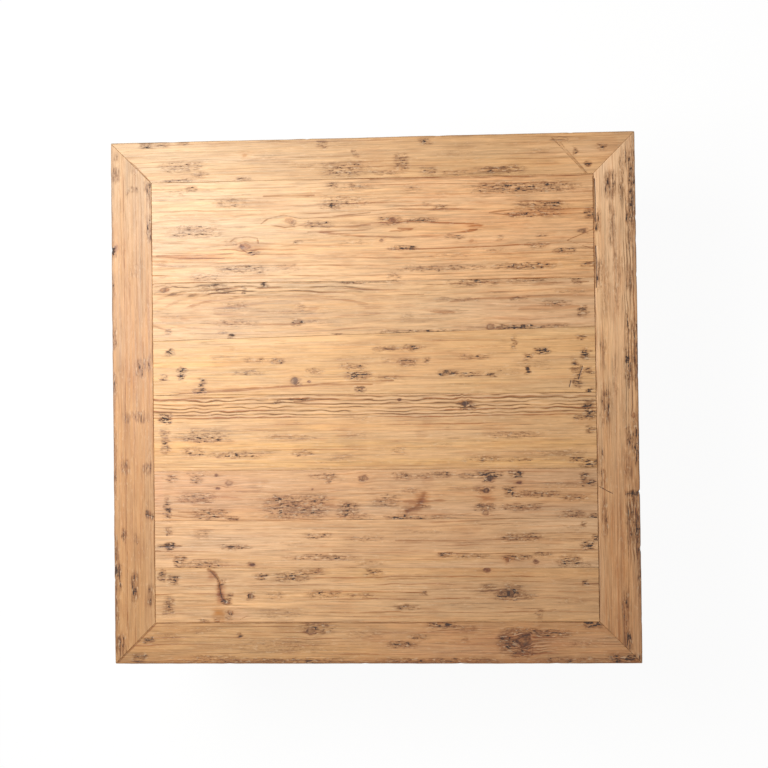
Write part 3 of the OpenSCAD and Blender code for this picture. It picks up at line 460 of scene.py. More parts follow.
# Stains and paler places: from and to along, place and half-height across, tone and strength
STAINS = {
    "plank_1": [
        (8, 40, 12, 5.0, "pale", 0.35), (20, 34, 24.6, 1.0, "grey", 0.3),
        (24, 28.5, 20.6, 0.9, "brown", 0.4), (75, 88, 15.0, 0.5, "brown", 0.9),
        # The brown strip at 8.4 across, from 50 to 92 along, is dirt and painted shade along the
        # back seam
        (9, 23, 22.2, 0.6, "orange", 0.65), (50, 92, 8.4, 0.4, "brown", 0.5),
        (54, 110, 17, 14, "warm", 0.8),
    ],
    "plank_2": [
        (20, 36, 32.8, 1.6, "grey", 0.3), (62, 92, 32.5, 3.0, "grey", 0.1),
        (68, 110, 33, 9, "warm", 0.8), (-8, 50, 33, 6, "yellow", 0.3),
        (-8, 54, 33, 5.5, "brown", 0.45), (64, 88, 36.6, 0.6, "grey", 0.5),
    ],
    "plank_3": [
        (8, 50, 43.6, 3.6, "yellow", 0.3), (-8, 70, 43, 6, "brown", 0.3),
        (-8, 30, 43, 6, "yellow", 0.3), (50, 100, 43.5, 6, "pink", 0.35),
        (12, 50, 47.6, 0.6, "orange", 0.3), (84, 92, 46.5, 1.2, "brown", 0.22),
        (64, 76, 46.9, 0.8, "yellow", 0.3),
    ],
    "plank_4": [
        (8, 92, 51.2, 2.0, "brown", 0.12), (12, 92, 58.6, 1.0, "yellow", 0.6),
        (12, 92, 62.0, 0.8, "yellow", 0.7), (-8, 50, 56, 8, "yellow", 0.45),
        (24, 54, 56, 8, "brown", 0.12), (24, 30, 56.6, 1.0, "pale", 0.25),
        (59.4, 61.0, 54.2, 1.2, "brown", 0.4), (58.2, 60.0, 56.6, 1.3, "brown", 0.4),
        (44, 48, 54.6, 2.0, "brown", 0.25), (13, 28, 56.2, 1.6, "grey", 0.25),
    ],
    "plank_5": [
        (8, 26, 67, 4.0, "pink", 0.45), (7.8, 9.5, 67, 4.0, "pink", 0.6),
        (58.0, 60.4, 68.6, 1.1, "ochre", 0.45), (56.2, 59.6, 69.9, 1.0, "brown", 0.95),
        (55.2, 58.6, 71.0, 0.8, "brown", 0.8), (59.2, 61.2, 65.4, 1.1, "brown", 0.6),
        (58.2, 60.4, 68.8, 1.0, "ochre", 0.6), (49, 53, 69.4, 1.2, "grey", 0.5),
        (70, 72.6, 69.0, 1.0, "orange", 0.55), (28, 44, 70.2, 2.2, "brown", 0.5),
        (12, 24, 69.5, 2.4, "grey", 0.22), (70, 92, 67, 3.5, "brown", 0.18),
        (61, 69, 66.2, 1.4, "yellow", 0.3),
    ],
    "plank_6": [
        (14, 44, 77, 8, "pale", 0.3), (8, 21, 80.5, 0.9, "pale", 0.6),
        (8, 16, 78.8, 0.5, "brown", 0.35), (26, 46, 74.6, 1.8, "pale", 0.2),
        (54, 92, 76.8, 0.7, "brown", 0.3), (46, 78, 77, 6, "brown", 0.25),
        (45, 68, 80.4, 0.8, "yellow", 0.35), (73.5, 76.5, 80.2, 0.7, "orange", 0.5),
    ],
    "plank_7": [
        (18.8, 21.3, 90.7, 1.5, "ochre", 0.95), (18.0, 19.8, 83.2, 0.9, "rust", 0.7),
        (19.9, 21.3, 87.5, 0.9, "rust", 0.8), (19.7, 21.2, 86.2, 1.5, "rust", 0.75),
        (21.8, 24.8, 88.9, 1.0, "pale", 0.4), (22, 26, 90.6, 1.2, "pink", 0.5),
        (72, 79, 86.6, 1.3, "grey", 0.5), (46, 52, 83.4, 1.8, "yellow", 0.3),
        (64, 110, 87, 7, "brown", 0.3), (4, 30, 86, 7, "pale", 0.4), (18, 46, 87, 9, "pale", 0.3),
    ],
    "frame_back": [
        (5, 11, 0.9, 0.8, "grey", 0.4), (-8, 108, 0.0, 0.3, "dark", 0.6),
        (84, 112, 4, 7, "pale", 1.25), (70, 98, 4, 7, "pale", 0.3), (2, 34, 4, 7, "pale", 0.4),
        (92, 98.6, 4.4, 2.4, "brown", 0.2), (82, 110, 4, 7, "pink", 0.4),
        (1, 4, 3.3, 0.8, "brown", 0.55), (40, 92, 1.6, 0.9, "brown", 0.15),
    ],
    "frame_front": [
        (-8, 108, 99.7, 0.7, "brown", 0.8), (48, 110, 96, 7, "pink", 0.9),
        (14, 42, 96, 7, "pale", 0.45), (-8, 9, 96, 7, "brown", 0.3),
        (-8, 108, 100, 0.3, "dark", 0.6), (60, 76, 93.0, 0.7, "grey", 0.4),
        (70, 86, 95.6, 2.4, "brown", 0.4), (74.5, 80.8, 96.3, 2.2, "brown", 0.5),
        (73, 75.4, 95.0, 1.3, "dark", 0.45), (80.2, 82.8, 94.7, 0.7, "dark", 0.6),
        (73.4, 76.0, 97.0, 1.7, "grey", 0.55), (76.2, 80.6, 97.6, 1.2, "orange", 0.35),
        (35.5, 39.5, 93.9, 0.8, "pale", 0.35), (8, 30, 96.0, 1.6, "grey", 0.16),
        (94, 100, 98.6, 1.6, "brown", 0.5), (84, 90, 97.4, 1.2, "pale", 0.15),
    ],
    "frame_left": [
        (0, 100, 1.4, 0.9, "pale", 0.3), (22, 92, 4.0, 6.0, "brown", 0.45),
        (6, 66, 4, 7, "brown", 0.5), (20, 66, 4, 7, "yellow", 0.35), (66, 104, 4, 7, "brown", 0.15),
        (94, 98, 1.2, 0.8, "orange", 0.5), (70.6, 72.6, 7.0, 0.9, "brown", 0.5),
        (34, 48, 1.2, 0.8, "grey", 0.3), (-8, 108, 0.0, 0.4, "dark", 0.7),
    ],
    "frame_right": [
        (-8, 11, 96, 6.0, "pale", 1.2), (-8, 108, 100, 0.35, "dark", 0.7),
        (0, 62, 99.0, 0.9, "brown", 0.35), (-8, 44, 96, 6.0, "pale", 1.0),
        (0, 100, 92.8, 0.35, "pale", 0.6), (8.2, 13, 95.2, 1.2, "grey", 0.15),
        (60, 112, 96, 6.0, "brown", 1.0), (45, 56, 94.3, 1.0, "grey", 0.5),
        (66.6, 68.6, 94.6, 0.5, "pale", 0.7), (0, 100, 99.8, 0.3, "brown", 0.45),
        (64, 72, 98.6, 0.9, "brown", 0.35), (0, 66, 95.8, 1.2, "pale", 0.1),
        (88, 100, 97.5, 1.8, "brown", 0.35), (20, 60, 96.4, 0.7, "brown", 0.22),
    ],
}

# Zones where the soft wood has worn away between the rings: from and to, place, half-height,
# strength
WEATHERED = {
    "plank_4": [(4, 96, 51.1, 2.3, 1.25), (60, 92, 60.4, 1.0, 0.3)],
    "plank_2": [(6, 52, 28.7, 1.5, 0.95), (8, 92, 29.2, 1.6, 0.35)],
    "plank_7": [(40, 92, 86.5, 4.0, 0.3)],
    "plank_6": [(50, 92, 77.4, 1.8, 0.4)],
    "plank_1": [(30, 92, 17.6, 2.0, 0.3)],
    "frame_right": [(2, 62, 98.4, 1.4, 0.9), (66, 82, 98.4, 1.2, 0.9), (82, 99, 97.6, 1.4, 0.5)],
    "frame_front": [(74, 84, 96.6, 1.8, 0.8), (20, 60, 98.6, 0.9, 0.4)],
    "frame_left": [(94, 99, 1.2, 1.0, 0.8), (40, 96, 2.2, 1.0, 0.35)],
    "frame_back": [(20, 90, 1.2, 0.8, 0.35)],
}

# Notches knocked out of the frame's outer edge: place along in hundredths, length and depth in
# millimetres
NOTCHES = {
    "frame_right": [
        (16.3, 14, 2.6), (20.5, 22, 1.8), (27.0, 10, 2.2), (67.9, 12, 3.4), (78.6, 16, 3.0),
        (92.0, 20, 1.6), (46.0, 18, 1.4),
    ],
    "frame_left": [(20.5, 12, 2.4), (35.0, 30, 1.2), (84.0, 14, 2.2), (71.0, 16, 1.4)],
    "frame_front": [(22.0, 30, 1.4), (48.0, 18, 2.0), (84.0, 26, 1.6), (66.0, 12, 1.8)],
    "frame_back": [(12.0, 24, 1.4), (38.0, 16, 1.8), (63.0, 22, 1.4), (88.0, 12, 2.0)],
}

# What each stain, and the painted highlight, does to the wood's colour
STAIN_TONES = {
    "ochre": (0.68, 0.45, 0.18),
    # The painted highlight: the lamp's sheen at the top's back left, laid into the colour as a
    # paler, whiter patch
    "painted_highlight": (1.0, 1.13, 1.36),
    "pale": (1.12, 1.16, 1.22),
    "yellow": (1.05, 1.02, 0.78),
    "orange": (0.74, 0.48, 0.24),
    "brown": (0.74, 0.61, 0.50),
    "grey": (0.76, 0.79, 0.86),
    "pink": (1.03, 0.93, 0.97),
    "rust": (0.54, 0.28, 0.14),
    "warm": (1.12, 1.03, 1.02),
    "dark": (0.40, 0.34, 0.32),
}

# What a knot of each kind does to the colour inside it
KNOT_TONES = {
    "brown": (0.72, 0.52, 0.34),
    "old": (0.24, 0.19, 0.16),
    "fresh": (0.98, 0.86, 0.74),
    "dark": (0.36, 0.31, 0.29),
    "red": (0.30, 0.14, 0.09),
    "ringed": (0.80, 0.82, 0.86),
}

# How dark the rim is on a knot of each kind
KNOT_RIMS = {"brown": 1, "dark": 1, "red": 1, "fresh": 0.3, "ringed": 1.6, "old": 1.6}

# What the small marks in the grain multiply the colour by, and the colour of bare wood
MARK_TONES = {
    "worn": (0.32, 0.24, 0.15),
    "threads": (0.42, 0.34, 0.27),
    # Resin lines, and the dirt and painted shade along the seams
    "dashes": (0.5, 0.40, 0.28),
    "resin_and_seam_shade": (0.52, 0.37, 0.22),
    "grime": (0.54, 0.43, 0.33),
    "dots": (0.42, 0.32, 0.22),
    "knot rings": (0.45, 0.34, 0.24),
    "cracks": (0.2, 0.15, 0.12),
    "plain fibre": (0.75, 0.62, 0.5),
}
BARE_WOOD = (0.95, 0.72, 0.47)
WHITE = (1, 1, 1, 1)

# What the rim of a knot, a dull patch, a warm patch and the grain that swirls round a knot take
# off the colour
RIM_SHADE = (0.45, 0.55, 0.6)
DULL_SHADE = (0.09, 0.14, 0.18)
WARM_SHADE = (0.0, 0.035, 0.11)
SWIRL_SHADE = (0.6, 1.2, 1.8)

# How many specks of residue there are to the metre along and across the grain, on most pieces
# and on the left and right frame members
SPECKS = (52, 210)
STILE_SPECKS = (30, 230)


def shade(code):
    """The linear colour of a paint chip written as six hexadecimal digits."""
    parts = (int(code[i : i + 2], 16) / 255 for i in (0, 2, 4))
    return tuple(p / 12.92 if p <= 0.04045 else ((p + 0.055) / 1.055) ** 2.4 for p in parts)


def colour_setting(name, code, description):
    """A colour that a user can change."""
    return FloatVectorProperty(
        name=name, description=description, subtype="COLOR", size=3, min=0, max=1,
        default=shade(code),
    )


def length_setting(name, default, low, high, description):
    """A length that a user can change, given in millimetres."""
    return FloatProperty(
        name=name, description=description, default=default * MM, min=low * MM, max=high * MM,
        unit="LENGTH", subtype="DISTANCE",
    )


class TimberColours(bpy.types.PropertyGroup):
    """Colours of the wood, piece by piece"""

    plank_1: colour_setting("Board 1", "ddad79", "Colour of the board at the back")
    plank_2: colour_setting("Board 2", "d9ad7d", "Colour of the second board")
    plank_3: colour_setting("Board 3", "deaf78", "Colour of the third board")
    plank_4: colour_setting("Board 4", "dbaa76", "Colour of the fourth board")
    plank_5: colour_setting("Board 5", "d7a677", "Colour of the fifth board")
    plank_6: colour_setting("Board 6", "ddad7d", "Colour of the sixth board")
    plank_7: colour_setting("Board 7", "daa976", "Colour of the board at the front")
    frame_back: colour_setting("Frame, back", "d3a36f", "Colour of the back frame member")
    frame_front: colour_setting("Frame, front", "cc9b67", "Colour of the front frame member")
    frame_left: colour_setting("Frame, left", "cd9d6b", "Colour of the left frame member")
    frame_right: colour_setting("Frame, right", "e4b382", "Colour of the right frame member")
    base: colour_setting("Legs and aprons", "cf9d68", "Colour of the legs and aprons")
    inner: colour_setting("Inner timber", "d6ab7a", "Colour of battens, rail, blocks and buttons")
    spline: colour_setting("Splines", "b98a58", "Colour of the hardwood splines in the mitres")
    latewood: colour_setting("Growth lines", "c5a27c", "What the hard growth rings multiply by")
    residue: colour_setting("Residue", "372216", "Dark residue left in the grain")


class WearSizes(bpy.types.PropertyGroup):
    """How far the wood has worn"""

    step: length_setting("Mesh step", 2.9, 2.0, 12.0, "Distance between points of worn faces")
    relief: length_setting("Raised grain", 0.55, 0.0, 1.5, "Height of the rings where weathered")
    hollows: length_setting("Hollows", 0.35, 0.0, 1.5, "Depth of the boards' shallow hollows")
    arris: length_setting("Outer arris", 3.0, 0.5, 6.0, "Rounding of the top's outer edge")
    corner: length_setting("Corners", 7.0, 0.0, 20.0, "Rounding of the top's corners in plan")
    seam: length_setting("Seams", 0.5, 0.3, 2.5, "Rounding of the boards' long edges")


class FixingColours(bpy.types.PropertyGroup):
    """Colours of the metal and plastic parts"""

    screw: colour_setting("Screws", "a9a59b", "Zinc on the screws and nails")
    bolt: colour_setting("Bolts", "b7b6b2", "Steel of the bolts, washers and nuts")
    glide: colour_setting("Glides", "3f3630", "Plastic of the foot glides")


class StudioSettings(bpy.types.PropertyGroup):
    """Light round the table"""

    key: FloatProperty(
        name="Key lamp", description="Power of the soft lamp at the back left",
        default=56.0, min=0, max=1000, unit="POWER",
    )
    sky: FloatProperty(
        name="Room light", description="Strength of the even light from all round",
        default=0.3, min=0, max=2,
    )
    floor: colour_setting("Floor", "f2f1ee", "Colour of the studio floor")


def colours():
    return bpy.context.scene.timber_colours


def wear():
    return bpy.context.scene.timber_wear


def smooth(low, high, x):
    """0 below low, 1 above high, and a smooth rise between them."""
    t = np.clip((x - low) / (high - low), 0, 1)
    return t * t * (3 - 2 * t)


def hills(u, v, seed):
    """Smooth random heights from -1 to 1, about one hill to each unit of u and v."""
    rows, columns = HILL_GRID
    heights = np.random.default_rng(seed).uniform(-1, 1, HILL_GRID)
    u, v = np.broadcast_arrays(np.asarray(u, float), np.asarray(v, float))
    iu, iv = np.floor(u).astype(int), np.floor(v).astype(int)
    fu, fv = smooth(0, 1, u - iu), smooth(0, 1, v - iv)
    left, right, near, far = iu % rows, (iu + 1) % rows, iv % columns, (iv + 1) % columns
    back = heights[left, near] * (1 - fu) + heights[right, near] * fu
    front = heights[left, far] * (1 - fu) + heights[right, far] * fu
    return back * (1 - fv) + front * fv


def distance_to(points, u, v):
    """Distance from each place to a line through the given points."""
    best = np.full(u.shape, 1e9)
    for (u0, v0), (u1, v1) in zip(points[:-1], points[1:]):
        du, dv = u1 - u0, v1 - v0
        t = np.clip(((u - u0) * du + (v - v0) * dv) / (du * du + dv * dv), 0, 1)
        best = np.minimum(best, np.hypot(u - u0 - t * du, v - v0 - t * dv))
    return best


def out_from(mark, along, across, longer=0.0, wider=0.0):
    """How far each place is from the middle of a mark, as shares of its reach and half-height."""
    start, end, place, high = mark[:4]
    middle, reach = (start + end) / 2, (end - start) / 2 + longer
    return (along - middle) / reach, (across - place) / (high + wider)


def tinted(share, tone):
    """What a tone multiplies the colour by where it covers a share of it."""
    return 1 + share[..., None] * (np.array(tone) - 1)


def dimmed(share, shade):
    """What the colour is multiplied by where a share of a shade is taken off it."""
    return 1 - share[..., None] * np.array(shade)


class Wood:
    """One piece of timber: what the grain, knots and marks are at any place in it. Places are
    in millimetres: u along the grain, v across it and w down from the face."""

    def __init__(self, name, number, colour, sawn, knots, marked=False):
        self.name, self.seed, self.colour = name, 100 * number, np.array(colour[:])
        self.pith, self.depth, self.rise = sawn["pith"], sawn["depth"], sawn["rise"]
        self.spacing, self.waver, self.lines = sawn["spacing"], sawn["waver"], sawn["lines"]
        self.knots, self.marked = knots, marked

    def near_knots(self, u, v):
        """The place across once the knots have bent the grain, how deep in a knot each place
        is, what the knots do to the colour, and how the grain swirls round them."""
        seed = self.seed
        bent, knot, swirl = v.copy(), np.zeros(u.shape), np.zeros(u.shape)
        tone_inside = np.ones(u.shape + (3,))
        for ku, kv, radius, stretch, tone in self.knots:
            uneven = 0.45 if radius < SMALL_KNOT else 0.2
            wander = 1 + uneven * hills(u / 9 + kv, v / 6 + ku, seed + 1)
            du, dv = (u - ku) / stretch, v - kv
            far = np.hypot(du, dv) * wander / radius
            # Inside the knot the grain is its own, and outside it closes again a few radii on
            pull = np.where(far > 1, np.exp(-((far / 4.5) ** 2)) / np.maximum(far, 1) ** 2, 1)
            bent -= dv * pull
            knot = np.maximum(knot, np.clip(1.18 - far, 0, 1))
            rim = np.exp(-(((far - 0.95) / (0.18 + 1 / radius)) ** 2))
            rim = rim * (0.55 + 0.45 * hills(u / 6, v / 4, seed)) * KNOT_RIMS[tone]
            filled = smooth(1.12, 0.82, far) * (0.7 + 0.5 * hills(u / 5, v / 3 + ku, seed + 28))
            tone_inside *= tinted(filled, KNOT_TONES[tone])
            tone_inside *= dimmed(np.clip(rim, 0, 1), RIM_SHADE)
            swirl = np.maximum(swirl, np.exp(-((far / 2.4) ** 2)))
        return bent, knot, tone_inside, swirl

    def growth(self, u, bent, w):
        """Which growth ring each place is in, as a number that rises by one a ring."""
        seed = self.seed
        heart = self.depth + self.rise * (
            hills(u / 430, 0.5, seed + 2) + 0.8 * np.exp(-np.clip(u - 120, 0, None) / 90)
        )
        across = bent - self.pith - 0.35 * self.rise * hills(u / 620, 0.5, seed + 3)
        radius = np.hypot(across, heart - w)
        radius = radius + self.waver * (
            1.7 * hills(u / 170, bent / 40, seed + 4) + 0.8 * hills(u / 48, bent / 15, seed + 5)
        )
        return radius / self.spacing + 0.4 * hills(radius / (2.6 * self.spacing), 0.5, seed + 6)

    def look_up(self, u, v, w):
        """The values that the finish reads at each place."""
        seed = self.seed
        bent, knot, tone_inside, swirl = self.near_knots(u, v)
        ring = self.growth(u, bent, w)
        side, plain_side = bent + SLANT * w, v + SLANT * w
        if self.marked:
            values = self.marks(u, v, w)
            ring = ring + 0.32 * values["weather"] * hills(u / 34, bent / 11, seed + 27)
        else:
            soil = np.clip(hills(u / 60, plain_side / 8, seed + 7) * 1.5 - 0.85, 0, 1)
            values = {key: np.zeros(u.shape) for key in ("crack", "vein", "depth")}
            values.update(soil=soil, weather=np.full(u.shape, 0.25), tint=np.ones(u.shape + (3,)))
        broad = hills(u / 210, side / 13, seed + 8)
        narrow = hills(u / 70, side / 5, seed + 9)
        warm = hills(u / 330, side / 27, seed + 10)
        light = 1 + 0.06 * broad + 0.05 * narrow + 0.03 * warm
        tint = values["tint"] * light[..., None] * tone_inside
        cloudy = hills(u / 85, plain_side / 9, seed + 26)
        dull = smooth(0.15, 0.75, cloudy + 0.4 * hills(u / 28, plain_side / 4, seed))
        tint *= dimmed(dull, DULL_SHADE)
        tint *= dimmed(np.clip(warm, -1, 1), WARM_SHADE)
        tint *= dimmed(0.1 * swirl, SWIRL_SHADE)
        grain = np.stack([u * MM + 2.3 * (seed / 100), bent * MM, w * MM], -1)
        values.update(
            ring=ring, knot=knot, grain=grain, tint=np.clip(tint * self.colour, 0, 1),
            lines=np.full(u.shape, self.lines),
        )
        return values

    def marks(self, u, v, w):
        """Residue, cracks, resin lines with the dirt and painted shade along the seams, weathering,
        depth and stains on the top face, with a painted highlight at its back left and painted
        shade towards its front and right, all of which fade down its sides."""
        seed, name = self.seed, self.name
        near_top = np.exp(-((w / TOP_FADE) ** 2))
        along = u / PER_CENT + 0.5 * hills(u / 24, v / 7, seed + 11)
        across = v / PER_CENT + 0.17 * hills(u / 16, v / 8, seed + 12)
        side = v + SLANT * w
        loose = hills(u / 75, side / 6, seed + 13) + 0.5 * hills(u / 30, side / 3.5, seed + 14)
        soil = np.clip(0.02 + 0.3 * loose, 0, 0.4)
        for mark in RESIDUE[name]:
            out_u, out_v = out_from(mark, along, across, 0.15, 0.2)
            soil = np.maximum(soil, mark[4] * near_top * np.exp(-0.8 * (out_u**4 + out_v**4)))
        tint = np.ones(u.shape + (3,))
        for mark in STAINS[name]:
            out_u, out_v = out_from(mark, along, across)
            share = mark[5] * near_top * np.exp(-(0.8 * out_u**4 + out_v**2))
            share *= 0.85 + 0.3 * hills(u / 60, side / 6, seed + 15)
            tint *= tinted(share, STAIN_TONES[mark[4]])
        # Painted highlight: a paler, whiter patch at the top's back left, where the lamp's sheen
        # falls
        x, y = (across, along) if name in UPRIGHT else (along, across)
        (spot_x, spot_y), (reach_x, reach_y) = PAINTED_HIGHLIGHT_AT, PAINTED_HIGHLIGHT_REACH
        highlight_spread = np.exp(-(((x - spot_x) / reach_x) ** 2) - ((y - spot_y) / reach_y) ** 2)
        painted_highlight = near_top * highlight_spread
        tint *= tinted(painted_highlight, STAIN_TONES["painted_highlight"])
        # Painted shade: the colour is darkened a little towards the front and the right of the top,
        # away from the lamp
        tint *= 1 - 0.1 * (near_top * smooth(0.25, 0.8, (x + 2 * y) / 300))[..., None]

        sway = 1.1 * hills(u / 45, v / 45, seed + 16)

        def near_line(points, width):
            line = [(a * PER_CENT, c * PER_CENT) for a, c in points]
            return np.clip(1 - distance_to(line, u, v + sway) / (2.6 * width), 0, 1)

        crack, depth, vein = (np.zeros(u.shape) for _ in range(3))
        for points, width, deep in CRACKS.get(name, ()):
            value = near_line(points, width)
            crack = np.maximum(crack, value)
            depth = np.maximum(depth, deep * smooth(0.4, 1, value))
        broken = 0.12 * hills(u / 38, v / 9, seed + 17)
        # Brown lines: resin, and dirt with painted shade along the seams
        for points, width in VEINS_AND_SEAM_SHADE[name]:
            value = near_line(points, width)
            vein = np.maximum(vein, np.clip(value + broken, 0, 1) * (value > 0))
        weather = 0.1 + 0.1 * hills(u / 200, v / 40, seed + 18)
        for mark in WEATHERED.get(name, ()):
            out_u, out_v = out_from(mark, along, across)
            weather = np.maximum(weather, mark[4] * near_top * np.exp(-(out_u**6 + out_v**4)))
        return dict(
            soil=soil, crack=crack * near_top, vein=vein * near_top, depth=depth, tint=tint,
            weather=np.clip(weather, 0, 1),
        )


def worn_height(wood, u, v, values):
    """How far the worn face stands above or below flat, in millimetres."""
    seed, hollows, relief = wood.seed, wear().hollows / MM, wear().relief / MM
    shallow, small = hills(u / 150, v / 60, seed + 21), hills(u / 52, v / 20, seed + 22)
    height = hollows * (0.7 * shallow + 0.3 * small)
    # The hard part of each ring stands up where the soft part has worn away
    phase = values["ring"] % 1
    ridge = smooth(0.35, 0.85, phase) * (1 - smooth(0.9, 1.0, phase))
    height += relief * values["weather"] * (ridge - 0.5)
    # Residue lies in shallow pits, and cracks, resin lines, the painted seam shade and the rims of
    # knots are lower too
    height -= 0.25 * values["soil"] * (0.6 + 0.4 * hills(u / 9, v / 4, seed + 23))
    height -= values["depth"]
    height -= 0.35 * smooth(0.75, 1, values["vein"])
    height -= 0.4 * smooth(0.1, 0.3, values["knot"]) * (1 - smooth(0.3, 0.6, values["knot"]))
    random = np.random.default_rng(seed + 24)
    for _ in range(DENTS):
        du = random.uniform(u.min(), u.max())
        dv = random.uniform(v.min(), v.max())
        long, high, deep = random.uniform(5, 14), random.uniform(3, 8), random.uniform(0.3, 0.8)
        height -= deep * np.exp(-((u - du) / long) ** 2 - ((v - dv) / high) ** 2)
    return height


def arc_drop(radius, inside):
    """How far a rounded edge has dropped at a distance inside it."""
    gap = np.clip(radius - inside, 0, radius)
    return radius - np.sqrt(np.maximum(radius**2 - gap**2, 0))


class Bar:
    """A length of timber as a tube of points: rows are stations along it, columns go once
    round its section, from the low edge across the top to the high edge and back underneath.
    A point is (u, a, z), along, across and up, and wear moves it by the normal (na, nz)."""

    def __init__(self, places):
        self.u = np.asarray(places, float)
        self.columns = []

    def add(self, a, z, na, nz):
        one = np.ones(len(self.u))
        self.columns.append((one * a, one * z, one * na, one * nz))

    def face(self, start, end, step, normal):
        """Evenly spaced points from start to end, without the ends."""
        (a0, z0), (a1, z1) = start, end
        reach = np.max(np.hypot(np.asarray(a1) - a0, np.asarray(z1) - z0))
        count = max(2, int(round(reach / step)))
        for t in np.arange(1, count) / count:
            self.add(a0 + (a1 - a0) * t, z0 + (z1 - z0) * t, *normal)

    def arris(self, corner, radius, start):
        """A rounded edge: corner is the sharp corner, start the first normal's quarter turn."""
        a, z = corner
        sa, sz = ((-1, 1), (1, 1), (1, -1), (-1, -1))[start]
        centre_a, centre_z = a - sa * radius, z - sz * radius
        first = (math.pi, math.pi / 2, 0, -math.pi / 2)[start]
        for k in range(ARC_STEPS + 1):
            turn = first - k * math.pi / 2 / ARC_STEPS
            na, nz = math.cos(turn), math.sin(turn)
            self.add(centre_a + radius * na, centre_z + radius * nz, na, nz)

    def side(self, edge, outwards, start, end, profile, step):
        """A side from height start to end, plain when profile is None, or else made of its
        points (out, z)."""
        if profile is None:
            self.face((edge, start), (edge, end), step, (outwards, 0))
            return
        for out, z in profile:
            self.add(edge + outwards * out, z, 0, 0)

    def arrays(self):
        a, z, na, nz = (np.stack(list(c), 1) for c in zip(*self.columns))
        return np.repeat(self.u[:, None], a.shape[1], 1), a, z, na, nz


def stations(low, high, step, fine=()):
    """Places along a piece, with extra ones close to its ends."""
    count = max(2, int(round((high - low) / step)))
    places = set(np.round(np.linspace(low, high, count + 1), 4))
    for f in fine:
        places |= {round(low + f, 4), round(high - f, 4)}
    return np.array(sorted(places))


def section(lows, highs, bottom, top, rounds, low_side, high_side, step, under_step, places):
    """A bar with flat top and underside. rounds are the radii at the low top, high top, high
    bottom and low bottom edges. A side is a list of points (out, z) from the top down, or None
    for a plain face."""
    bar = Bar(places)
    r0, r1, r2, r3 = rounds
    bar.arris((lows, top), r0, 0)
    bar.face((lows + r0, top), (highs - r1, top), step, (0, 1))
    bar.arris((highs, top), r1, 1)
    bar.side(highs, 1, top - r1, bottom + r2, high_side, step)
    bar.arris((highs, bottom), r2, 2)
    bar.face((highs - r2, bottom), (lows + r3, bottom), under_step, (0, -1))
    bar.arris((lows, bottom), r3, 3)
    rising = None if low_side is None else low_side[::-1]
    bar.side(lows, -1, bottom + r3, top - r0, rising, step)
    return bar.arrays()


def tongue(out, heights):
    """The side of a board with a tongue that stands out of it, or a groove where out is below
    zero, from the top down."""
    low, high = heights
    return [(0, high), (out, high), (out, low), (0, low)]


def close_end(bm, ring, outwards, block):
    """Closes an end of the tube. block gives four corners and a vector for a tongue that stands
    out of the end, or a pocket that goes into it."""
    if block is None:
        bm.faces.new(ring)
        return
    corners, reach = block
    inner = [bm.verts.new(c) for c in corners]
    edges = [bm.edges.new((inner[k], inner[(k + 1) % 4])) for k in range(4)]
    edges += [bm.edges.get((ring[k], ring[(k + 1) % len(ring)])) for k in range(len(ring))]
    filled = bmesh.ops.triangle_fill(bm, use_beauty=True, use_dissolve=False, edges=edges)
    faces = [g for g in filled["geom"] if isinstance(g, bmesh.types.BMFace)]
    if not faces:
        raise RuntimeError("the end of a board could not be closed")
    for face in faces:
        face.normal_update()
        if face.normal.dot(outwards) < 0:
            face.normal_flip()
    tips = [bm.verts.new(c.co + reach) for c in inner]
    made = [
        bm.faces.new((inner[k], inner[(k + 1) % 4], tips[(k + 1) % 4], tips[k])) for k in range(4)
    ]
    made.append(bm.faces.new(tips))
    middle = sum((t.co for t in tips), Vector()) / 4 - reach / 2
    stands_out = reach.dot(outwards) > 0
    for face in made:
        face.normal_update()
        away = face.normal.dot(face.calc_center_median() - middle) > 0
        if away != stands_out:
            face.normal_flip()


def vector(values):
    return Vector([float(x) for x in values])


def put(name, data):
    """Puts a new object in the scene."""
    made = bpy.data.objects.new(name, data)
    bpy.context.scene.collection.objects.link(made)
    return made


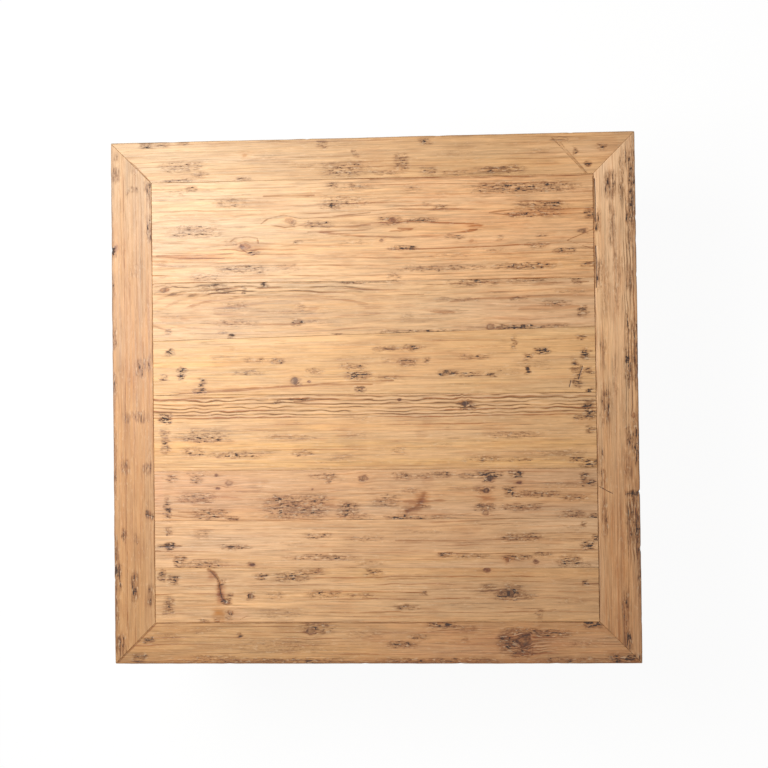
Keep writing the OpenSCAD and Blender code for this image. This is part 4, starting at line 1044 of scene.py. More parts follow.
def make_piece(name, wood, local, place, coords, finish, ends=(None, None)):
    """Builds a worn piece. local are the tube's arrays, place turns its (u, a, z) into points
    of the room, coords turns them into the wood's own (u, v, w), and ends are the blocks on its
    two ends."""
    u, a, z, na, nz = local
    rows, columns = u.shape
    grid = rows * columns
    wood_u, wood_v, wood_w = coords(u, a, z)
    values = wood.look_up(wood_u, wood_v, wood_w)
    height = worn_height(wood, wood_u, wood_v, values)
    del values["depth"]
    a, z = a + height * na, z + height * nz
    points = (place(u, a, z) * MM).reshape(-1, 3)

    index = np.arange(grid).reshape(rows, columns)
    after = np.roll(index, -1, 1)
    quads = np.stack([index[:-1], index[1:], after[1:], after[:-1]], -1).reshape(-1, 4)
    mesh = bpy.data.meshes.new(name)
    mesh.from_pydata(points.tolist(), [], quads.tolist())

    bm = bmesh.new()
    bm.from_mesh(mesh)
    bm.verts.ensure_lookup_table()
    start = [bm.verts[i] for i in index[0]]
    end = [bm.verts[i] for i in index[-1][::-1]]
    along = vector(place(1.0, 0.0, 0.0) - place(0.0, 0.0, 0.0))
    close_end(bm, start, -along, ends[0])
    close_end(bm, end, along, ends[1])
    bm.to_mesh(mesh)
    bm.free()

    everywhere = np.zeros(len(mesh.vertices) * 3)
    mesh.vertices.foreach_get("co", everywhere)
    extra = everywhere.reshape(-1, 3)[grid:] / MM
    nearest = np.argmin(((points[None] / MM - extra[:, None]) ** 2).sum(-1), 1)
    for key, value in values.items():
        flat = value.reshape(grid, -1)
        flat = np.concatenate([flat, flat[nearest]])
        kind, field = {1: ("FLOAT", "value"), 3: ("FLOAT_VECTOR", "vector")}[flat.shape[1]]
        carried = mesh.attributes.new(key, kind, "POINT")
        carried.data.foreach_set(field, flat.astype(np.float32).ravel())
    lay_out_map(mesh, u, a, z, index)
    mesh.shade_smooth()
    mesh.set_sharp_from_angle(angle=math.radians(SHARP_FROM))
    mesh.materials.append(pine_finish(finish))
    piece = put(name + "_worn", mesh)
    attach(piece, "root")
    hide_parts(name)


def lay_out_map(mesh, u, a, z, index):
    """A map for baking: the tube is cut along its low edge and laid flat, and the faces that
    close its two ends stand in narrow strips beside it."""
    rows, columns = u.shape
    middle = rows // 2
    ring_a = np.append(a[middle], a[middle][0])
    ring_z = np.append(z[middle], z[middle][0])
    girth = np.concatenate([[0], np.cumsum(np.hypot(np.diff(ring_a), np.diff(ring_z)))])
    height = 1 - 2 * MAP_MARGIN
    girth = MAP_MARGIN + height * girth / girth[-1]
    reach = np.abs(u - u[middle, :1]).max(1) * np.sign(np.arange(rows) - middle)
    share = MAP_MARGIN + MAP_SIDES * (reach - reach[0]) / (reach[-1] - reach[0])
    i, j = np.divmod(index, columns)
    corner_rows = np.stack([i[:-1], i[1:], i[1:], i[:-1]], -1).reshape(-1, 4)
    corner_cols = np.stack([j[:-1], j[1:], j[1:] + 1, j[:-1] + 1], -1).reshape(-1, 4)
    tube = np.stack([share[corner_rows], girth[corner_cols]], -1).reshape(-1, 2)
    layer = mesh.uv_layers.new(name=BAKE_MAP)
    all_uv = np.zeros((len(mesh.loops), 2), np.float32)
    all_uv[: len(tube)] = tube
    corners = np.zeros(len(mesh.loops), int)
    mesh.loops.foreach_get("vertex_index", corners)
    places = np.zeros(len(mesh.vertices) * 3)
    mesh.vertices.foreach_get("co", places)
    places = places.reshape(-1, 3)[corners[len(tube) :]]
    low, high = places.min(0), places.max(0)
    size = np.maximum(high - low, 1e-6)
    long = int(np.argmax(size))
    side, deep = [k for k in range(3) if k != long]
    first = places[:, long] < (low[long] + high[long]) / 2
    t = (places - low) / size
    all_uv[len(tube) :, 0] = np.where(first, *MAP_ENDS) + MAP_END_WIDTH * t[:, deep]
    all_uv[len(tube) :, 1] = MAP_MARGIN + height * t[:, side]
    layer.data.foreach_set("uv", all_uv.ravel())


def seam_at(number, x):
    """How far back a seam lies at a place along it."""
    share = (np.asarray(x) + OPEN_HALF) / (2 * OPEN_HALF)
    return SEAMS[number][0] * (1 - share) + SEAMS[number][1] * share


def on_top(u, a, z):
    """The wood's own place for a board: millimetres from the top's back left corner."""
    return u + HALF, HALF - a, TOP_Z - z


def turned(quarter):
    """Turns a piece made along the back by quarter turns to its own side of the table."""
    c, s = ((1, 0), (0, 1), (-1, 0), (0, -1))[quarter]

    def place(u, a, z):
        u, a, z = np.broadcast_arrays(u, a, z)
        return np.stack([c * u - s * a, s * u + c * a, z], -1)

    return place


def top_wood(name, number):
    """The timber of a board or frame member."""
    sawn = dict(SAWN[name], pith=SAWN[name]["pith"] * PER_CENT)
    knots = [(a * PER_CENT, c * PER_CENT, r, k, tone) for a, c, r, k, tone in KNOTS[name]]
    return Wood(name, number, getattr(colours(), name), sawn, knots, marked=True)


def plank(number):
    """One board of the panel, number 1 at the back."""
    name = f"plank_{number}"
    step, seam = wear().step / MM, wear().seam / MM
    places = stations(-PANEL_HALF, PANEL_HALF, step, (0.25, 0.7, 1.3, 2.2))
    last = len(SEAMS) - 1
    seed = 1000 + 10 * number
    back_gap = PANEL_GAP if number == 1 else BOARD_GAP / 2
    front_gap = PANEL_GAP if number == last else BOARD_GAP / 2
    chips = [0.35 * np.clip(hills(places / 60, k, seed + k), 0, 1) for k in (1, 2)]
    highs = seam_at(number - 1, places) - back_gap - chips[0]
    lows = seam_at(number, places) + front_gap + chips[1]
    worn = [
        seam * (1 + 0.5 * hills(places / 45, k, seed + k) + 0.35 * hills(places / 14, k, seed + k))
        for k in (3, 4)
    ]
    out, into = tongue(TONGUE_L, TONGUE_Z), tongue(-GROOVE_L, GROOVE_Z)
    u, a, z, na, nz = section(
        lows, highs, PANEL_Z, TOP_Z, (worn[1], worn[0], LOW_ARRIS, LOW_ARRIS),
        out if number == last else into, out, step, UNDER_STEP, places,
    )
    # The board is a little lower where it meets the frame
    end_wear = 1.7 + 0.5 * hills(a / 30, 0.5, seed + 5)
    z = np.minimum(z, TOP_Z - arc_drop(end_wear, PANEL_HALF - np.abs(u)))

    # A tongue on each end
    ends = []
    for side in (-1, 1):
        x = side * PANEL_HALF
        low = float(seam_at(number, x)) + front_gap + END_INSET
        high = float(seam_at(number - 1, x)) - back_gap - END_INSET
        under, over = TONGUE_Z
        corners = [(x, low, under), (x, high, under), (x, high, over), (x, low, over)]
        corners = [vector(np.array(c) * MM) for c in corners]
        ends.append((corners, vector((side * TONGUE_L * MM, 0, 0))))
    local = (u, a, z, na, nz)
    wood = top_wood(name, number)
    make_piece(name, wood, local, turned(0), on_top, "panel", ends)


def frame_member(side, quarter):
    """One mitred member of the frame, made along the back and turned to its side."""
    name = f"frame_{side}"
    step = wear().step / MM
    shares = stations(-HALF, HALF, step, (0.4, 0.9, 1.6, 2.6)) / HALF
    seed = 2010 + 10 * quarter
    place = turned(quarter)

    def coords(u, a, z):
        spot = place(u, a, z)
        x, y = spot[..., 0] + HALF, HALF - spot[..., 1]
        return (y, x, TOP_Z - z) if quarter % 2 else (x, y, TOP_Z - z)

    def wavy(long, k):
        return hills(along / long, 0.5, seed + k)

    # The outer edge wavers and has its notches, and is more rounded near the corners
    along = shares * HALF
    at = coords(along, np.full(along.shape, HALF), TOP_Z)[0] / PER_CENT
    bow = 0.35 * (1 + wavy(260, 1)) + 0.35 * (1 + wavy(34, 2))
    for where, long, deep in NOTCHES[name]:
        far = (at - where) * PER_CENT / (long / 2)
        bow = bow + 0.6 * deep * np.exp(-(far**2)) * (1 + 0.3 * wavy(4, 3))
    near_corner = np.exp(-(HALF - np.abs(along)) / 22)
    arris = wear().arris / MM * (1 + 0.28 * wavy(40, 4) + 0.2 * wavy(11, 5)) + 2.0 * near_corner
    inner = 0.9 + 0.3 * wavy(50, 6)
    lows = OPEN_HALF + 0.25 * np.clip(wavy(70, 7), 0, 1)
    share, a, z, na, nz = section(
        lows, HALF - bow, FRAME_Z, TOP_Z, (inner, arris, 2.6, LOW_ARRIS),
        tongue(-GROOVE_L, GROOVE_Z), None, step, UNDER_STEP, shares,
    )

    # Both ends are cut to the mitre, and the table's corner is rounded in plan
    u = share * (a - MITRE_TRIM)
    to_mitre = (a - MITRE_TRIM) * (1 - np.abs(share)) / math.sqrt(2)
    z = np.where(nz > 0, np.minimum(z, TOP_Z - arc_drop(0.9, to_mitre)), z)
    corner = wear().corner / MM
    du, da = np.abs(u) - (HALF - corner), a - (HALF - corner)
    out = np.hypot(du, da)
    shrink = np.where((du > 0) & (da > 0) & (out > corner), corner / np.maximum(out, 1e-9), 1)
    u = np.sign(u) * np.where(shrink < 1, HALF - corner + du * shrink, np.abs(u))
    a = np.where(shrink < 1, HALF - corner + da * shrink, a)

    # A pocket for a spline in each mitre
    middle, length, reach, high = HALF - FRAME_W / 2, *SPLINE_POCKET
    ends = []
    for end in (-1, 1):
        line = np.array([end, 1.0]) / math.sqrt(2)
        centre = np.array([end * (middle - MITRE_TRIM), middle])
        inwards = np.array([-end, 1.0]) / math.sqrt(2)
        corners = []
        for t, up in ((-1, 0), (1, 0), (1, 1), (-1, 1)):
            spot = place(*(centre + line * t * length / 2), SPLINE_Z + up * high)
            corners.append(vector(spot * MM))
        ends.append((corners, vector(place(*inwards, 0.0) * reach * MM)))
    finish = "stile" if quarter % 2 else "rail"
    wood = top_wood(name, 8 + quarter)
    make_piece(name, wood, (u, a, z, na, nz), place, coords, finish, ends)


def base_wood(name, number, seed, sawn, count, u_range, v_range):
    """The timber of a leg or apron, with a few knots scattered over it."""
    random = np.random.default_rng(seed)
    tones = ("brown", "dark", "fresh", "red", "brown")
    knots = [
        (
            random.uniform(*u_range), random.uniform(*v_range), random.uniform(4, 9),
            random.uniform(1.1, 1.7), tones[random.integers(len(tones))],
        )
        for _ in range(count)
    ]
    return Wood(name, number, colours().base, dict(sawn, waver=1.2, lines=0.5), knots)


def leg(side, quarter):
    """A square leg, made at the back right corner and turned to its own."""
    name = f"leg_{side}"
    step = wear().step / MM * BASE_COARSER
    places = np.union1d(
        stations(GLIDE_T, FRAME_Z, step, (0.3, 0.8, 1.5, 2.5)), [APRON_Z - 0.01, APRON_Z]
    )
    seed = 3000 + 10 * quarter
    rounds = [
        3.2 + 0.9 * hills(places / 60, k, seed + k) + 0.5 * hills(places / 17, k, seed + k)
        for k in range(4)
    ]
    lows, highs = np.full(places.shape, LEG_IN), np.full(places.shape, LEG_OUT)
    worn = [0.3 * (1 + hills(places / 90, k, seed + 4 + k)) for k in (0, 1)]
    u, a, z, na, nz = section(
        lows, highs - worn[0], LEG_IN, LEG_OUT, rounds, None, None, step, step, places
    )
    z = z - np.clip((z - LEG_IN) / (LEG_OUT - LEG_IN), 0, 1) * worn[1][:, None]
    # The foot is rounded, and beside the aprons the inner corner is cut flat for its block
    foot = arc_drop(3.0, u - GLIDE_T)
    a, z = np.clip(a, LEG_IN + foot, LEG_OUT - foot), np.clip(z, LEG_IN + foot, LEG_OUT - foot)
    short = np.where(u >= APRON_Z, np.clip(LEG_FLAT_SUM - a - z, 0, None) / 2, 0)
    a, z = a + short, z + short
    na, nz = np.where(short > 0, 0, na), np.where(short > 0, 0, nz)
    turn = turned(quarter)

    def place(u, a, z):
        return turn(a, z, u)

    def coords(u, a, z):
        return u, a - LEG_IN, LEG_OUT - z

    sawn = dict(pith=20 + 18 * quarter, depth=60 + 8 * quarter, spacing=5.6, rise=10)
    wood = base_wood(name, 12 + quarter, seed, sawn, 3, u_range=(60, 640), v_range=(15, 95))
    make_piece(name, wood, (u, a, z, na, nz), place, coords, "base")


def apron(side, quarter):
    """An apron between two legs, made along the back and turned to its side."""
    name = f"apron_{side}"
    step = wear().step / MM * BASE_COARSER
    places = stations(-LEG_IN, LEG_IN, step)
    seed = 4000 + 10 * quarter
    low_groove, high_groove, deep = BUTTON_GROOVE
    inner = tongue(-deep, (low_groove, high_groove))
    inner += [(0, low_groove - down) for down in (18, 36, 54)]
    worn = 2.0 + 0.6 * hills(places / 70, 0.5, seed + 1) + 0.4 * hills(places / 15, 0.5, seed + 2)
    one = np.ones(len(places))
    u, a, z, na, nz = section(
        one * APRON_IN, one * APRON_OUT, APRON_Z, FRAME_Z, (0.5, 0.5, worn, worn), inner, None,
        step, step, places,
    )
    na = np.where(u**2 >= LEG_IN**2, 0, na)

    def coords(u, a, z):
        return u + LEG_IN, z - APRON_Z, APRON_OUT - a

    sawn = dict(pith=-30 + 40 * quarter, depth=45, spacing=6.0, rise=18)
    wood = base_wood(name, 16 + quarter, seed, sawn, 4, u_range=(80, 1150), v_range=(12, 84))
    make_piece(name, wood, (u, a, z, na, nz), turned(quarter), coords, "base")


def add_node(tree, kind, feeds, **settings):
    """Adds a shader node. feeds are the values or the other nodes' outputs for its inputs."""
    made = tree.nodes.new("ShaderNode" + kind)
    for key, value in settings.items():
        setattr(made, key, value)
    for key, value in feeds.items():
        if isinstance(value, bpy.types.NodeSocket):
            tree.links.new(value, made.inputs[key])
        else:
            made.inputs[key].default_value = value
    return made


class Finish:
    """A material and short ways to add nodes to it."""

    def __init__(self, name):
        self.material = bpy.data.materials.new(name)
        self.material.use_nodes = True
        self.tree = self.material.node_tree
        self.tree.nodes.clear()
        self.surface = self.node("BsdfPrincipled", {})
        self.out = self.node("OutputMaterial", {"Surface": self.surface.outputs[0]})

    def node(self, kind, feeds, **settings):
        return add_node(self.tree, kind, feeds, **settings)

    def carried(self, name, output="Fac"):
        """A value that the mesh carries."""
        return self.node("Attribute", {}, attribute_name=name).outputs[output]

    def solid_place(self):
        """The place on a solid, in metres."""
        return self.node("TexCoord", {}).outputs["Object"]

    def maths(self, operation, a, b=0.0, clamp=False):
        return self.node("Math", {0: a, 1: b}, operation=operation, use_clamp=clamp).outputs[0]

    def times(self, a, b, clamp=False):
        return self.maths("MULTIPLY", a, b, clamp)

    def plus(self, a, b, clamp=False):
        return self.maths("ADD", a, b, clamp)

    def cloud(self, place, along, across, detail=2.0, rough=0.5):
        """Noise from 0 to 1 with so many hills to the metre along and across."""
        by = (along, across, across)
        spread = self.node("VectorMath", {0: place, 1: by}, operation="MULTIPLY").outputs[0]
        feeds = {"Vector": spread, "Scale": 1.0, "Detail": detail, "Roughness": rough}
        return self.node("TexNoise", feeds).outputs["Fac"]

    def rise(self, value, low, high, to_low=0.0, to_high=1.0):
        feeds = {"Value": value, "From Min": low, "From Max": high}
        feeds.update({"To Min": to_low, "To Max": to_high})
        made = self.node("MapRange", feeds, interpolation_type="SMOOTHSTEP")
        return made.outputs["Result"]

    def cover(self, colour, share, tone, kind="MIX"):
        """Lays a tone over a share of the colour."""
        feeds = {0: share, 6: colour, 7: opaque(tone)}
        return self.node("Mix", feeds, data_type="RGBA", blend_type=kind).outputs[2]

    def stain(self, colour, share, tone):
        """Multiplies a share of the colour by a tone."""
        return self.cover(colour, share, tone, "MULTIPLY")

    def cloudy(self, share, first, second):
        """A colour that goes from the first to the second."""
        return self.cover(opaque(first), share, second)

    def profile(self, value, points):
        """A curve through points (in, out)."""
        made = self.node("ValToRGB", {0: value})
        ramp = made.color_ramp
        while len(ramp.elements) < len(points):
            ramp.elements.new(0.5)
        for element, (at, level) in zip(ramp.elements, points):
            element.position = at
            element.color = (level, level, level, 1)
        return made.outputs[0]

    def settle(self, colour, roughness, height, shine=0.5):
        """Feeds the surface. height is in millimetres."""
        links, inputs = self.tree.links, self.surface.inputs
        links.new(colour, inputs["Base Color"])
        links.new(roughness, inputs["Roughness"])
        bump = self.node("Bump", {"Height": height, "Strength": 1.0, "Distance": MM})
        links.new(bump.outputs[0], inputs["Normal"])
        inputs["Specular IOR Level"].default_value = shine
        return self.material


def opaque(colour):
    return (*colour[:3], 1.0)


def scaled(colour, by):
    return [c * by for c in colour]


def pine_finish(part):
    """Weathered pine that reads its grain and marks from the mesh."""
    name = f"weathered_pine_{part}"
    if name in bpy.data.materials:
        return bpy.data.materials[name]
    f = Finish(name)
    per_metre = STILE_SPECKS if part == "stile" else SPECKS
    place, tint = f.carried("grain", "Vector"), f.carried("tint", "Vector")
    soil, knot, crack = f.carried("soil"), f.carried("knot"), f.carried("crack")
    vein, weather, lines = f.carried("vein"), f.carried("weather"), f.carried("lines")

    # Growth rings, and the soft wood worn away between them
    waver = f.cloud(place, 8, 90, 3.0, 0.6)
    ring = f.plus(f.carried("ring"), f.times(f.plus(waver, -0.5), 0.55))
    phase = f.maths("FRACT", ring)
    late = f.profile(
        phase, [(0.0, 0.0), (0.55, 0.02), (0.7, 0.3), (0.76, 1.0), (0.96, 1.0), (1.0, 0.0)]
    )
    which = f.node("TexWhiteNoise", {"W": f.maths("FLOOR", ring)}, noise_dimensions="1D")
    strong = f.rise(which.outputs["Value"], 0.2, 1.0, 0.1, 1.3)
    patch = f.rise(f.cloud(place, 3, 60, 3.0, 0.6), 0.4, 0.64, 0.05, 1.2)
    late = f.times(f.times(late, strong), patch)
    late = f.times(late, f.plus(lines, weather), clamp=True)
    worn = f.profile(phase, [(0.0, 0.8), (0.05, 1.0), (0.18, 1.0), (0.27, 0.0), (1.0, 0.0)])
    gaps = f.rise(f.cloud(place, 10, 90, 3.0), 0.32, 0.54)
    worn = f.times(f.times(worn, gaps), f.rise(weather, 0.25, 0.95))

    # Fibre and streaks in the wood's own colour
    fibre = f.cloud(place, 13, 210, 3.0, 0.6)
    streak = f.cloud(place, 3, 150, 3.0, 0.6)
    broad = f.cloud(place, 5, 50, 3.0, 0.6)
    crisp = f.times(f.rise(fibre, 0.3, 0.7, -0.16, 0.14), f.plus(lines, 0.3))
    light = f.plus(f.plus(crisp, 1.0), f.rise(streak, 0.3, 0.7, -0.08, 0.065))
    light = f.plus(light, f.rise(broad, 0.3, 0.7, -0.05, 0.05))
    colour = f.node("VectorMath", {0: tint, "Scale": light}, operation="SCALE").outputs[0]
    colour = f.stain(colour, late, colours().latewood)
    colour = f.stain(colour, worn, MARK_TONES["worn"])
    ridge = f.profile(phase, [(0.4, 0.0), (0.5, 1.0), (0.72, 1.0), (0.8, 0.0)])
    ridge = f.times(ridge, f.rise(weather, 0.25, 0.95, 0.0, 0.16))
    colour = f.cover(colour, ridge, BARE_WOOD)

    # Dark threads, short dashes, and resin lines with the dirt and painted shade along the seams
    threads = f.rise(f.cloud(place, 5, 170), 0.57, 0.64)
    threads = f.times(threads, f.plus(0.15, f.times(soil, 0.65)), clamp=True)
    colour = f.stain(colour, threads, MARK_TONES["threads"])
    dashes = f.rise(f.cloud(place, 14, 190), 0.62, 0.68)
    colour = f.stain(colour, f.times(dashes, 0.34), MARK_TONES["dashes"])
    resin_and_seam_shade = f.rise(f.plus(vein, f.times(f.plus(streak, -0.5), 0.7)), 0.55, 0.95)
    colour = f.stain(colour, f.times(resin_and_seam_shade, 0.9), MARK_TONES["resin_and_seam_shade"])

    # Smeared grime and dots under the residue
    smear = f.cloud(place, 22, 110, 4.0, 0.7)
    weave = f.cloud(place, 150, 75)
    grime = f.times(f.rise(soil, 0.1, 0.9), f.rise(smear, 0.38, 0.58, 0.3, 1.0))
    grime = f.times(grime, f.rise(weave, 0.38, 0.58, 0.6, 1.0))
    colour = f.stain(colour, f.times(grime, 0.8), MARK_TONES["grime"])
    dots = f.rise(f.plus(f.cloud(place, *per_metre, 2.0, 0.7), f.times(soil, 0.11)), 0.56, 0.64)
    dots = f.times(dots, f.rise(soil, 0.1, 0.7))
    colour = f.stain(colour, f.times(dots, 0.7), MARK_TONES["dots"])

    # Rings inside the knots, and cracks
    bands = f.maths("SINE", f.times(f.plus(knot, f.times(streak, 0.3)), 21.0))
    in_knot = f.times(f.rise(knot, 0.12, 0.3), f.rise(bands, -1.0, 1.0, 0.0, 0.5))
    colour = f.stain(colour, in_knot, MARK_TONES["knot rings"])
    colour = f.stain(colour, f.rise(crack, 0.6, 0.85), MARK_TONES["cracks"])

    # Bare flecks, and the residue itself
    flecks = f.rise(f.cloud(place, 52, 185, 2.0, 0.6), 0.585, 0.625)
    bare = f.times(flecks, f.plus(0.06, f.times(soil, 0.26)), clamp=True)
    colour = f.cover(colour, bare, BARE_WOOD)
    ticks = f.cloud(place, 190, 70, 1.0)
    mixed = f.plus(f.times(f.cloud(place, *per_metre, 2.0, 0.6), 0.78), f.times(ticks, 0.22))
    needed = f.plus(0.8, f.times(soil, -0.275))
    speck = f.rise(f.maths("SUBTRACT", mixed, needed), 0.0, 0.022)
    colour = f.cover(colour, speck, colours().residue)

    rough = f.plus(0.45, f.rise(streak, 0.3, 0.7, -0.06, 0.08))
    for value, amount in ((speck, 0.22), (weather, 0.08)):
        rough = f.plus(rough, f.times(value, amount))
    height = f.times(late, 0.25)
    for value, amount in (
        (fibre, 0.8), (streak, 0.8), (bare, 0.25), (speck, -0.35), (worn, -0.6), (dashes, -0.15),
    ):
        height = f.plus(height, f.times(value, amount))
    height = f.maths("SUBTRACT", height, f.rise(crack, 0.55, 0.9, 0.0, 0.5))
    return f.settle(colour, rough, height)


def plain_pine(name, colour, turn):
    """Planed pine for the timber under the top, with the grain turned about the upright."""
    f = Finish(name)
    spin = {"Vector": f.solid_place(), "Rotation": (0, 0, -turn)}
    place = f.node("Mapping", spin, vector_type="POINT").outputs[0]
    parts = f.node("SeparateXYZ", {0: place})
    waver = f.times(f.cloud(place, 2.5, 14), 0.02)
    across = f.plus(f.maths("PINGPONG", parts.outputs[1], 0.31), waver)
    deep = f.plus(parts.outputs[2], -0.62)
    radius = f.maths("SQRT", f.plus(f.times(across, across), f.times(deep, deep)))
    phase = f.maths("FRACT", f.times(radius, 210.0))
    late = f.profile(phase, [(0.0, 0.1), (0.2, 0.0), (0.6, 0.2), (0.93, 1.0), (1.0, 0.15)])
    fibre = f.cloud(place, 24, 600, 3.0, 0.6)
    streak = f.cloud(place, 5, 70, 3.0, 0.6)
    shaded = f.cloudy(f.rise(streak, 0.3, 0.7), scaled(colour, 0.86), colour)
    shaded = f.stain(shaded, f.rise(fibre, 0.3, 0.75, 0.0, 0.22), MARK_TONES["plain fibre"])
    shaded = f.stain(shaded, f.times(late, 0.6), colours().latewood)
    rough = f.rise(fibre, 0.2, 0.8, 0.52, 0.68)
    height = f.plus(f.times(late, 0.1), f.times(fibre, 0.12))
    return f.settle(shaded, rough, height, 0.4)


def worn_metal(name, colour, roughness, dull):
    """Plated steel with a cloudy, slightly tarnished skin."""
    f = Finish(name)
    place = f.solid_place()
    cloud = f.cloud(place, 90, 90, 4.0, 0.6)
    grit = f.cloud(place, 900, 900)
    shaded = f.cloudy(f.rise(cloud, 0.35, 0.65), colour, scaled(colour, dull))
    rough = f.rise(cloud, 0.3, 0.7, roughness, roughness + 0.2)
    f.surface.inputs["Metallic"].default_value = 1.0
    return f.settle(shaded, rough, f.times(grit, 0.03))


def moulded_plastic(name, colour):
    """Dark plastic with fine grain and paler scuffs."""
    f = Finish(name)
    place = f.solid_place()
    grain = f.cloud(place, 700, 700)
    scuffs = f.cloud(place, 60, 60, 4.0, 0.65)
    pale = [min(1.0, c * 1.5 + 0.02) for c in colour]
    shaded = f.cloudy(f.rise(scuffs, 0.52, 0.75), colour, pale)
    rough = f.rise(scuffs, 0.3, 0.7, 0.42, 0.62)
    return f.settle(shaded, rough, f.times(grain, 0.05), 0.4)


def straight_rays(tree):
    """1 for rays from the camera and from shiny or clear surfaces, which see the white room."""
    path = add_node(tree, "LightPath", {})
    total = path.outputs["Is Camera Ray"]
    for kind in ("Is Glossy Ray", "Is Transmission Ray"):
        feeds = {0: total, 1: path.outputs[kind]}
        total = add_node(tree, "Math", feeds, operation="ADD", use_clamp=True).outputs[0]
    return total


def floor_paint(colour):
    """Pale floor that the camera sees as white, with the table's shadow still on it."""
    f = Finish("studio_floor")
    cloud = f.cloud(f.solid_place(), 0.8, 0.8)
    shaded = f.cloudy(f.rise(cloud, 0.3, 0.7), colour, scaled(colour, 0.98))
    f.tree.links.new(shaded, f.surface.inputs["Base Color"])
    f.surface.inputs["Roughness"].default_value = 0.8
    f.surface.inputs["Specular IOR Level"].default_value = 0.2
    glow = f.node("Emission", {"Color": WHITE, "Strength": FLOOR_GLOW})
    share = f.times(straight_rays(f.tree), FLOOR_GLOW_SHARE)
    mixed = f.node("MixShader", {0: share, 1: f.surface.outputs[0], 2: glow.outputs[0]})
    f.tree.links.new(mixed.outputs[0], f.out.inputs["Surface"])
    return f.material


def light_room(scene, strength):
    """Even light from all round, in a room that the camera sees as white."""
    scene.world = scene.world or bpy.data.worlds.new("room")
    scene.world.use_nodes = True
    tree = scene.world.node_tree
    tree.nodes.clear()
    even = add_node(tree, "Background", {0: WHITE, 1: strength})
    white = add_node(tree, "Background", {0: WHITE})
    feeds = {0: straight_rays(tree), 1: even.outputs[0], 2: white.outputs[0]}
    mix = add_node(tree, "MixShader", feeds)
    add_node(tree, "OutputWorld", {0: mix.outputs[0]})


def dress(material, *nodes):
    """Gives solids that stay as they are a finish in each of their material slots."""
    for node in nodes:
        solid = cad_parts[node]
        if not solid.material_slots:
            solid.data.materials.append(material)
        for holder in solid.material_slots:
            holder.material = material


class TABLE_OT_boards(bpy.types.Operator):
    """Lay the seven worn boards of the panel"""

    bl_idname = "table.lay_boards"
    bl_label = "Lay boards"

    def execute(self, context):
        for number in range(1, len(SEAMS)):
            plank(number)
        return {"FINISHED"}


class TABLE_OT_frame(bpy.types.Operator):
    """Fit the four mitred frame members round the panel"""

    bl_idname = "table.fit_frame"
    bl_label = "Fit frame"

    def execute(self, context):
        for quarter, side in enumerate(SIDES):
            frame_member(side, quarter)
        return {"FINISHED"}


class TABLE_OT_legs(bpy.types.Operator):
    """Stand the four legs"""

    bl_idname = "table.stand_legs"
    bl_label = "Stand legs"

    def execute(self, context):
        for quarter, side in enumerate(CORNERS):
            leg(side, quarter)
        return {"FINISHED"}


class TABLE_OT_aprons(bpy.types.Operator):
    """Fit the four aprons between the legs"""

    bl_idname = "table.fit_aprons"
    bl_label = "Fit aprons"

    def execute(self, context):
        for quarter, side in enumerate(SIDES):
            apron(side, quarter)
        return {"FINISHED"}


class TABLE_OT_inner(bpy.types.Operator):
    """Finish the timber under the top"""

    bl_idname = "table.finish_inner_timber"
    bl_label = "Finish inner timber"

    def execute(self, context):
        inner, spline = colours().inner[:], colours().spline[:]
        dress(
            plain_pine("inner_pine_crosswise", inner, math.pi / 2),
            "batten_left", "batten_middle", "batten_right", "middle_rail",
        )
        dress(
            plain_pine("inner_pine_falling", inner, -math.pi / 4),
            "corner_block_front_left", "corner_block_back_right",
        )
        dress(
            plain_pine("inner_pine_rising", inner, math.pi / 4),
            "corner_block_front_right", "corner_block_back_left",
        )
        dress(plain_pine("inner_pine_lengthwise", inner, 0.0), "top_buttons")
        dress(plain_pine("hardwood_spline", spline, math.pi / 4), "mitre_splines")
        return {"FINISHED"}


class TABLE_OT_fixings(bpy.types.Operator):
    """Finish the screws, bolts, nails and foot glides"""

    bl_idname = "table.finish_fixings"
    bl_label = "Finish fixings"

    def execute(self, context):
        c = context.scene.fixing_colours
        dress(
            worn_metal("zinc_plate", c.screw[:], 0.34, 0.7),
            "batten_screws", "corner_block_screws", "button_screws", "glide_nails",
        )
        dress(
            worn_metal("bolt_steel", c.bolt[:], 0.26, 0.78),
            "hanger_bolts", "bolt_washers", "bolt_nuts",
        )
        dress(moulded_plastic("glide_plastic", c.glide[:]), "foot_glides")
        return {"FINISHED"}


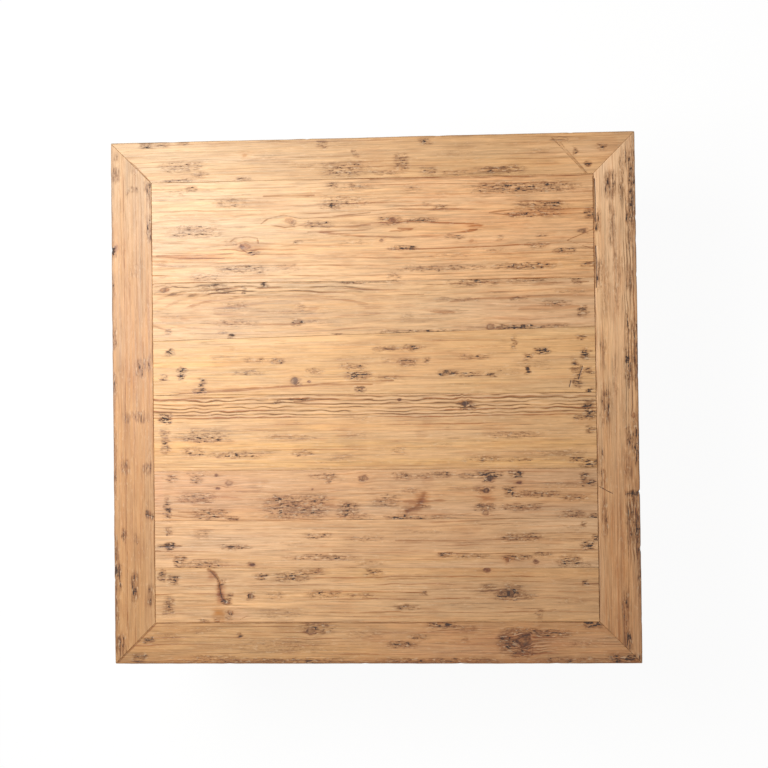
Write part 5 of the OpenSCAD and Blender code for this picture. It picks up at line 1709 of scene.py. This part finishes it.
class TABLE_OT_studio(bpy.types.Operator):
    """Set the floor, the light and the camera"""

    bl_idname = "table.set_studio"
    bl_label = "Set studio"

    def execute(self, context):
        scene, studio = context.scene, context.scene.table_studio
        mesh = bpy.data.meshes.new("studio_floor")
        r = FLOOR_HALF
        mesh.from_pydata([(-r, -r, 0), (r, -r, 0), (r, r, 0), (-r, r, 0)], [], [(0, 1, 2, 3)])
        mesh.materials.append(floor_paint(studio.floor[:]))
        floor = put("studio_floor", mesh)
        light_room(scene, studio.sky)

        lamp_data = bpy.data.lights.new("key_lamp", "AREA")
        lamp_data.shape, lamp_data.size = "SQUARE", LAMP_SIDE
        lamp_data.energy = studio.key
        lamp = put("key_lamp", lamp_data)
        lamp.location = LAMP_PLACE
        aim = vector((*LAMP_AIM, TOP_Z * MM)) - lamp.location
        lamp.rotation_euler = aim.to_track_quat("-Z", "Y").to_euler()
        lamp.visible_camera = False

        camera_data = bpy.data.cameras.new("camera")
        camera_data.lens, camera_data.sensor_width = LENS, SENSOR
        camera = put("camera", camera_data)
        camera.location = CAMERA_PLACE
        camera.rotation_mode = "ZYX"
        camera.rotation_euler = Euler([math.radians(turn) for turn in CAMERA_TURN], "ZYX")
        scene.camera = camera
        scene.view_settings.view_transform = "Standard"
        return {"FINISHED"}


OPERATORS = (
    TABLE_OT_studio, TABLE_OT_boards, TABLE_OT_frame, TABLE_OT_legs, TABLE_OT_aprons,
    TABLE_OT_inner, TABLE_OT_fixings,
)
GROUPS = {
    "timber_colours": TimberColours,
    "timber_wear": WearSizes,
    "fixing_colours": FixingColours,
    "table_studio": StudioSettings,
}


class TABLE_PT_panel(bpy.types.Panel):
    """The table's settings and steps"""

    bl_idname = "TABLE_PT_panel"
    bl_label = "Weathered pine table"
    bl_space_type = "VIEW_3D"
    bl_region_type = "UI"
    bl_category = "Table"

    def draw(self, context):
        for name, group in GROUPS.items():
            box = self.layout.box()
            box.label(text=group.__doc__)
            for key in group.__annotations__:
                box.prop(getattr(context.scene, name), key)
        for step in OPERATORS:
            self.layout.operator(step.bl_idname)


CLASSES = (*GROUPS.values(), *OPERATORS, TABLE_PT_panel)


def register():
    for kind in CLASSES:
        bpy.utils.register_class(kind)
    for name, group in GROUPS.items():
        setattr(bpy.types.Scene, name, PointerProperty(type=group))


def unregister():
    for name in GROUPS:
        delattr(bpy.types.Scene, name)
    for kind in reversed(CLASSES):
        bpy.utils.unregister_class(kind)


def main():
    register()
    bpy.ops.table.set_studio()
    bpy.ops.table.lay_boards()
    bpy.ops.table.fit_frame()
    bpy.ops.table.stand_legs()
    bpy.ops.table.fit_aprons()
    bpy.ops.table.finish_inner_timber()
    bpy.ops.table.finish_fixings()


if __name__ == "__main__":
    main()
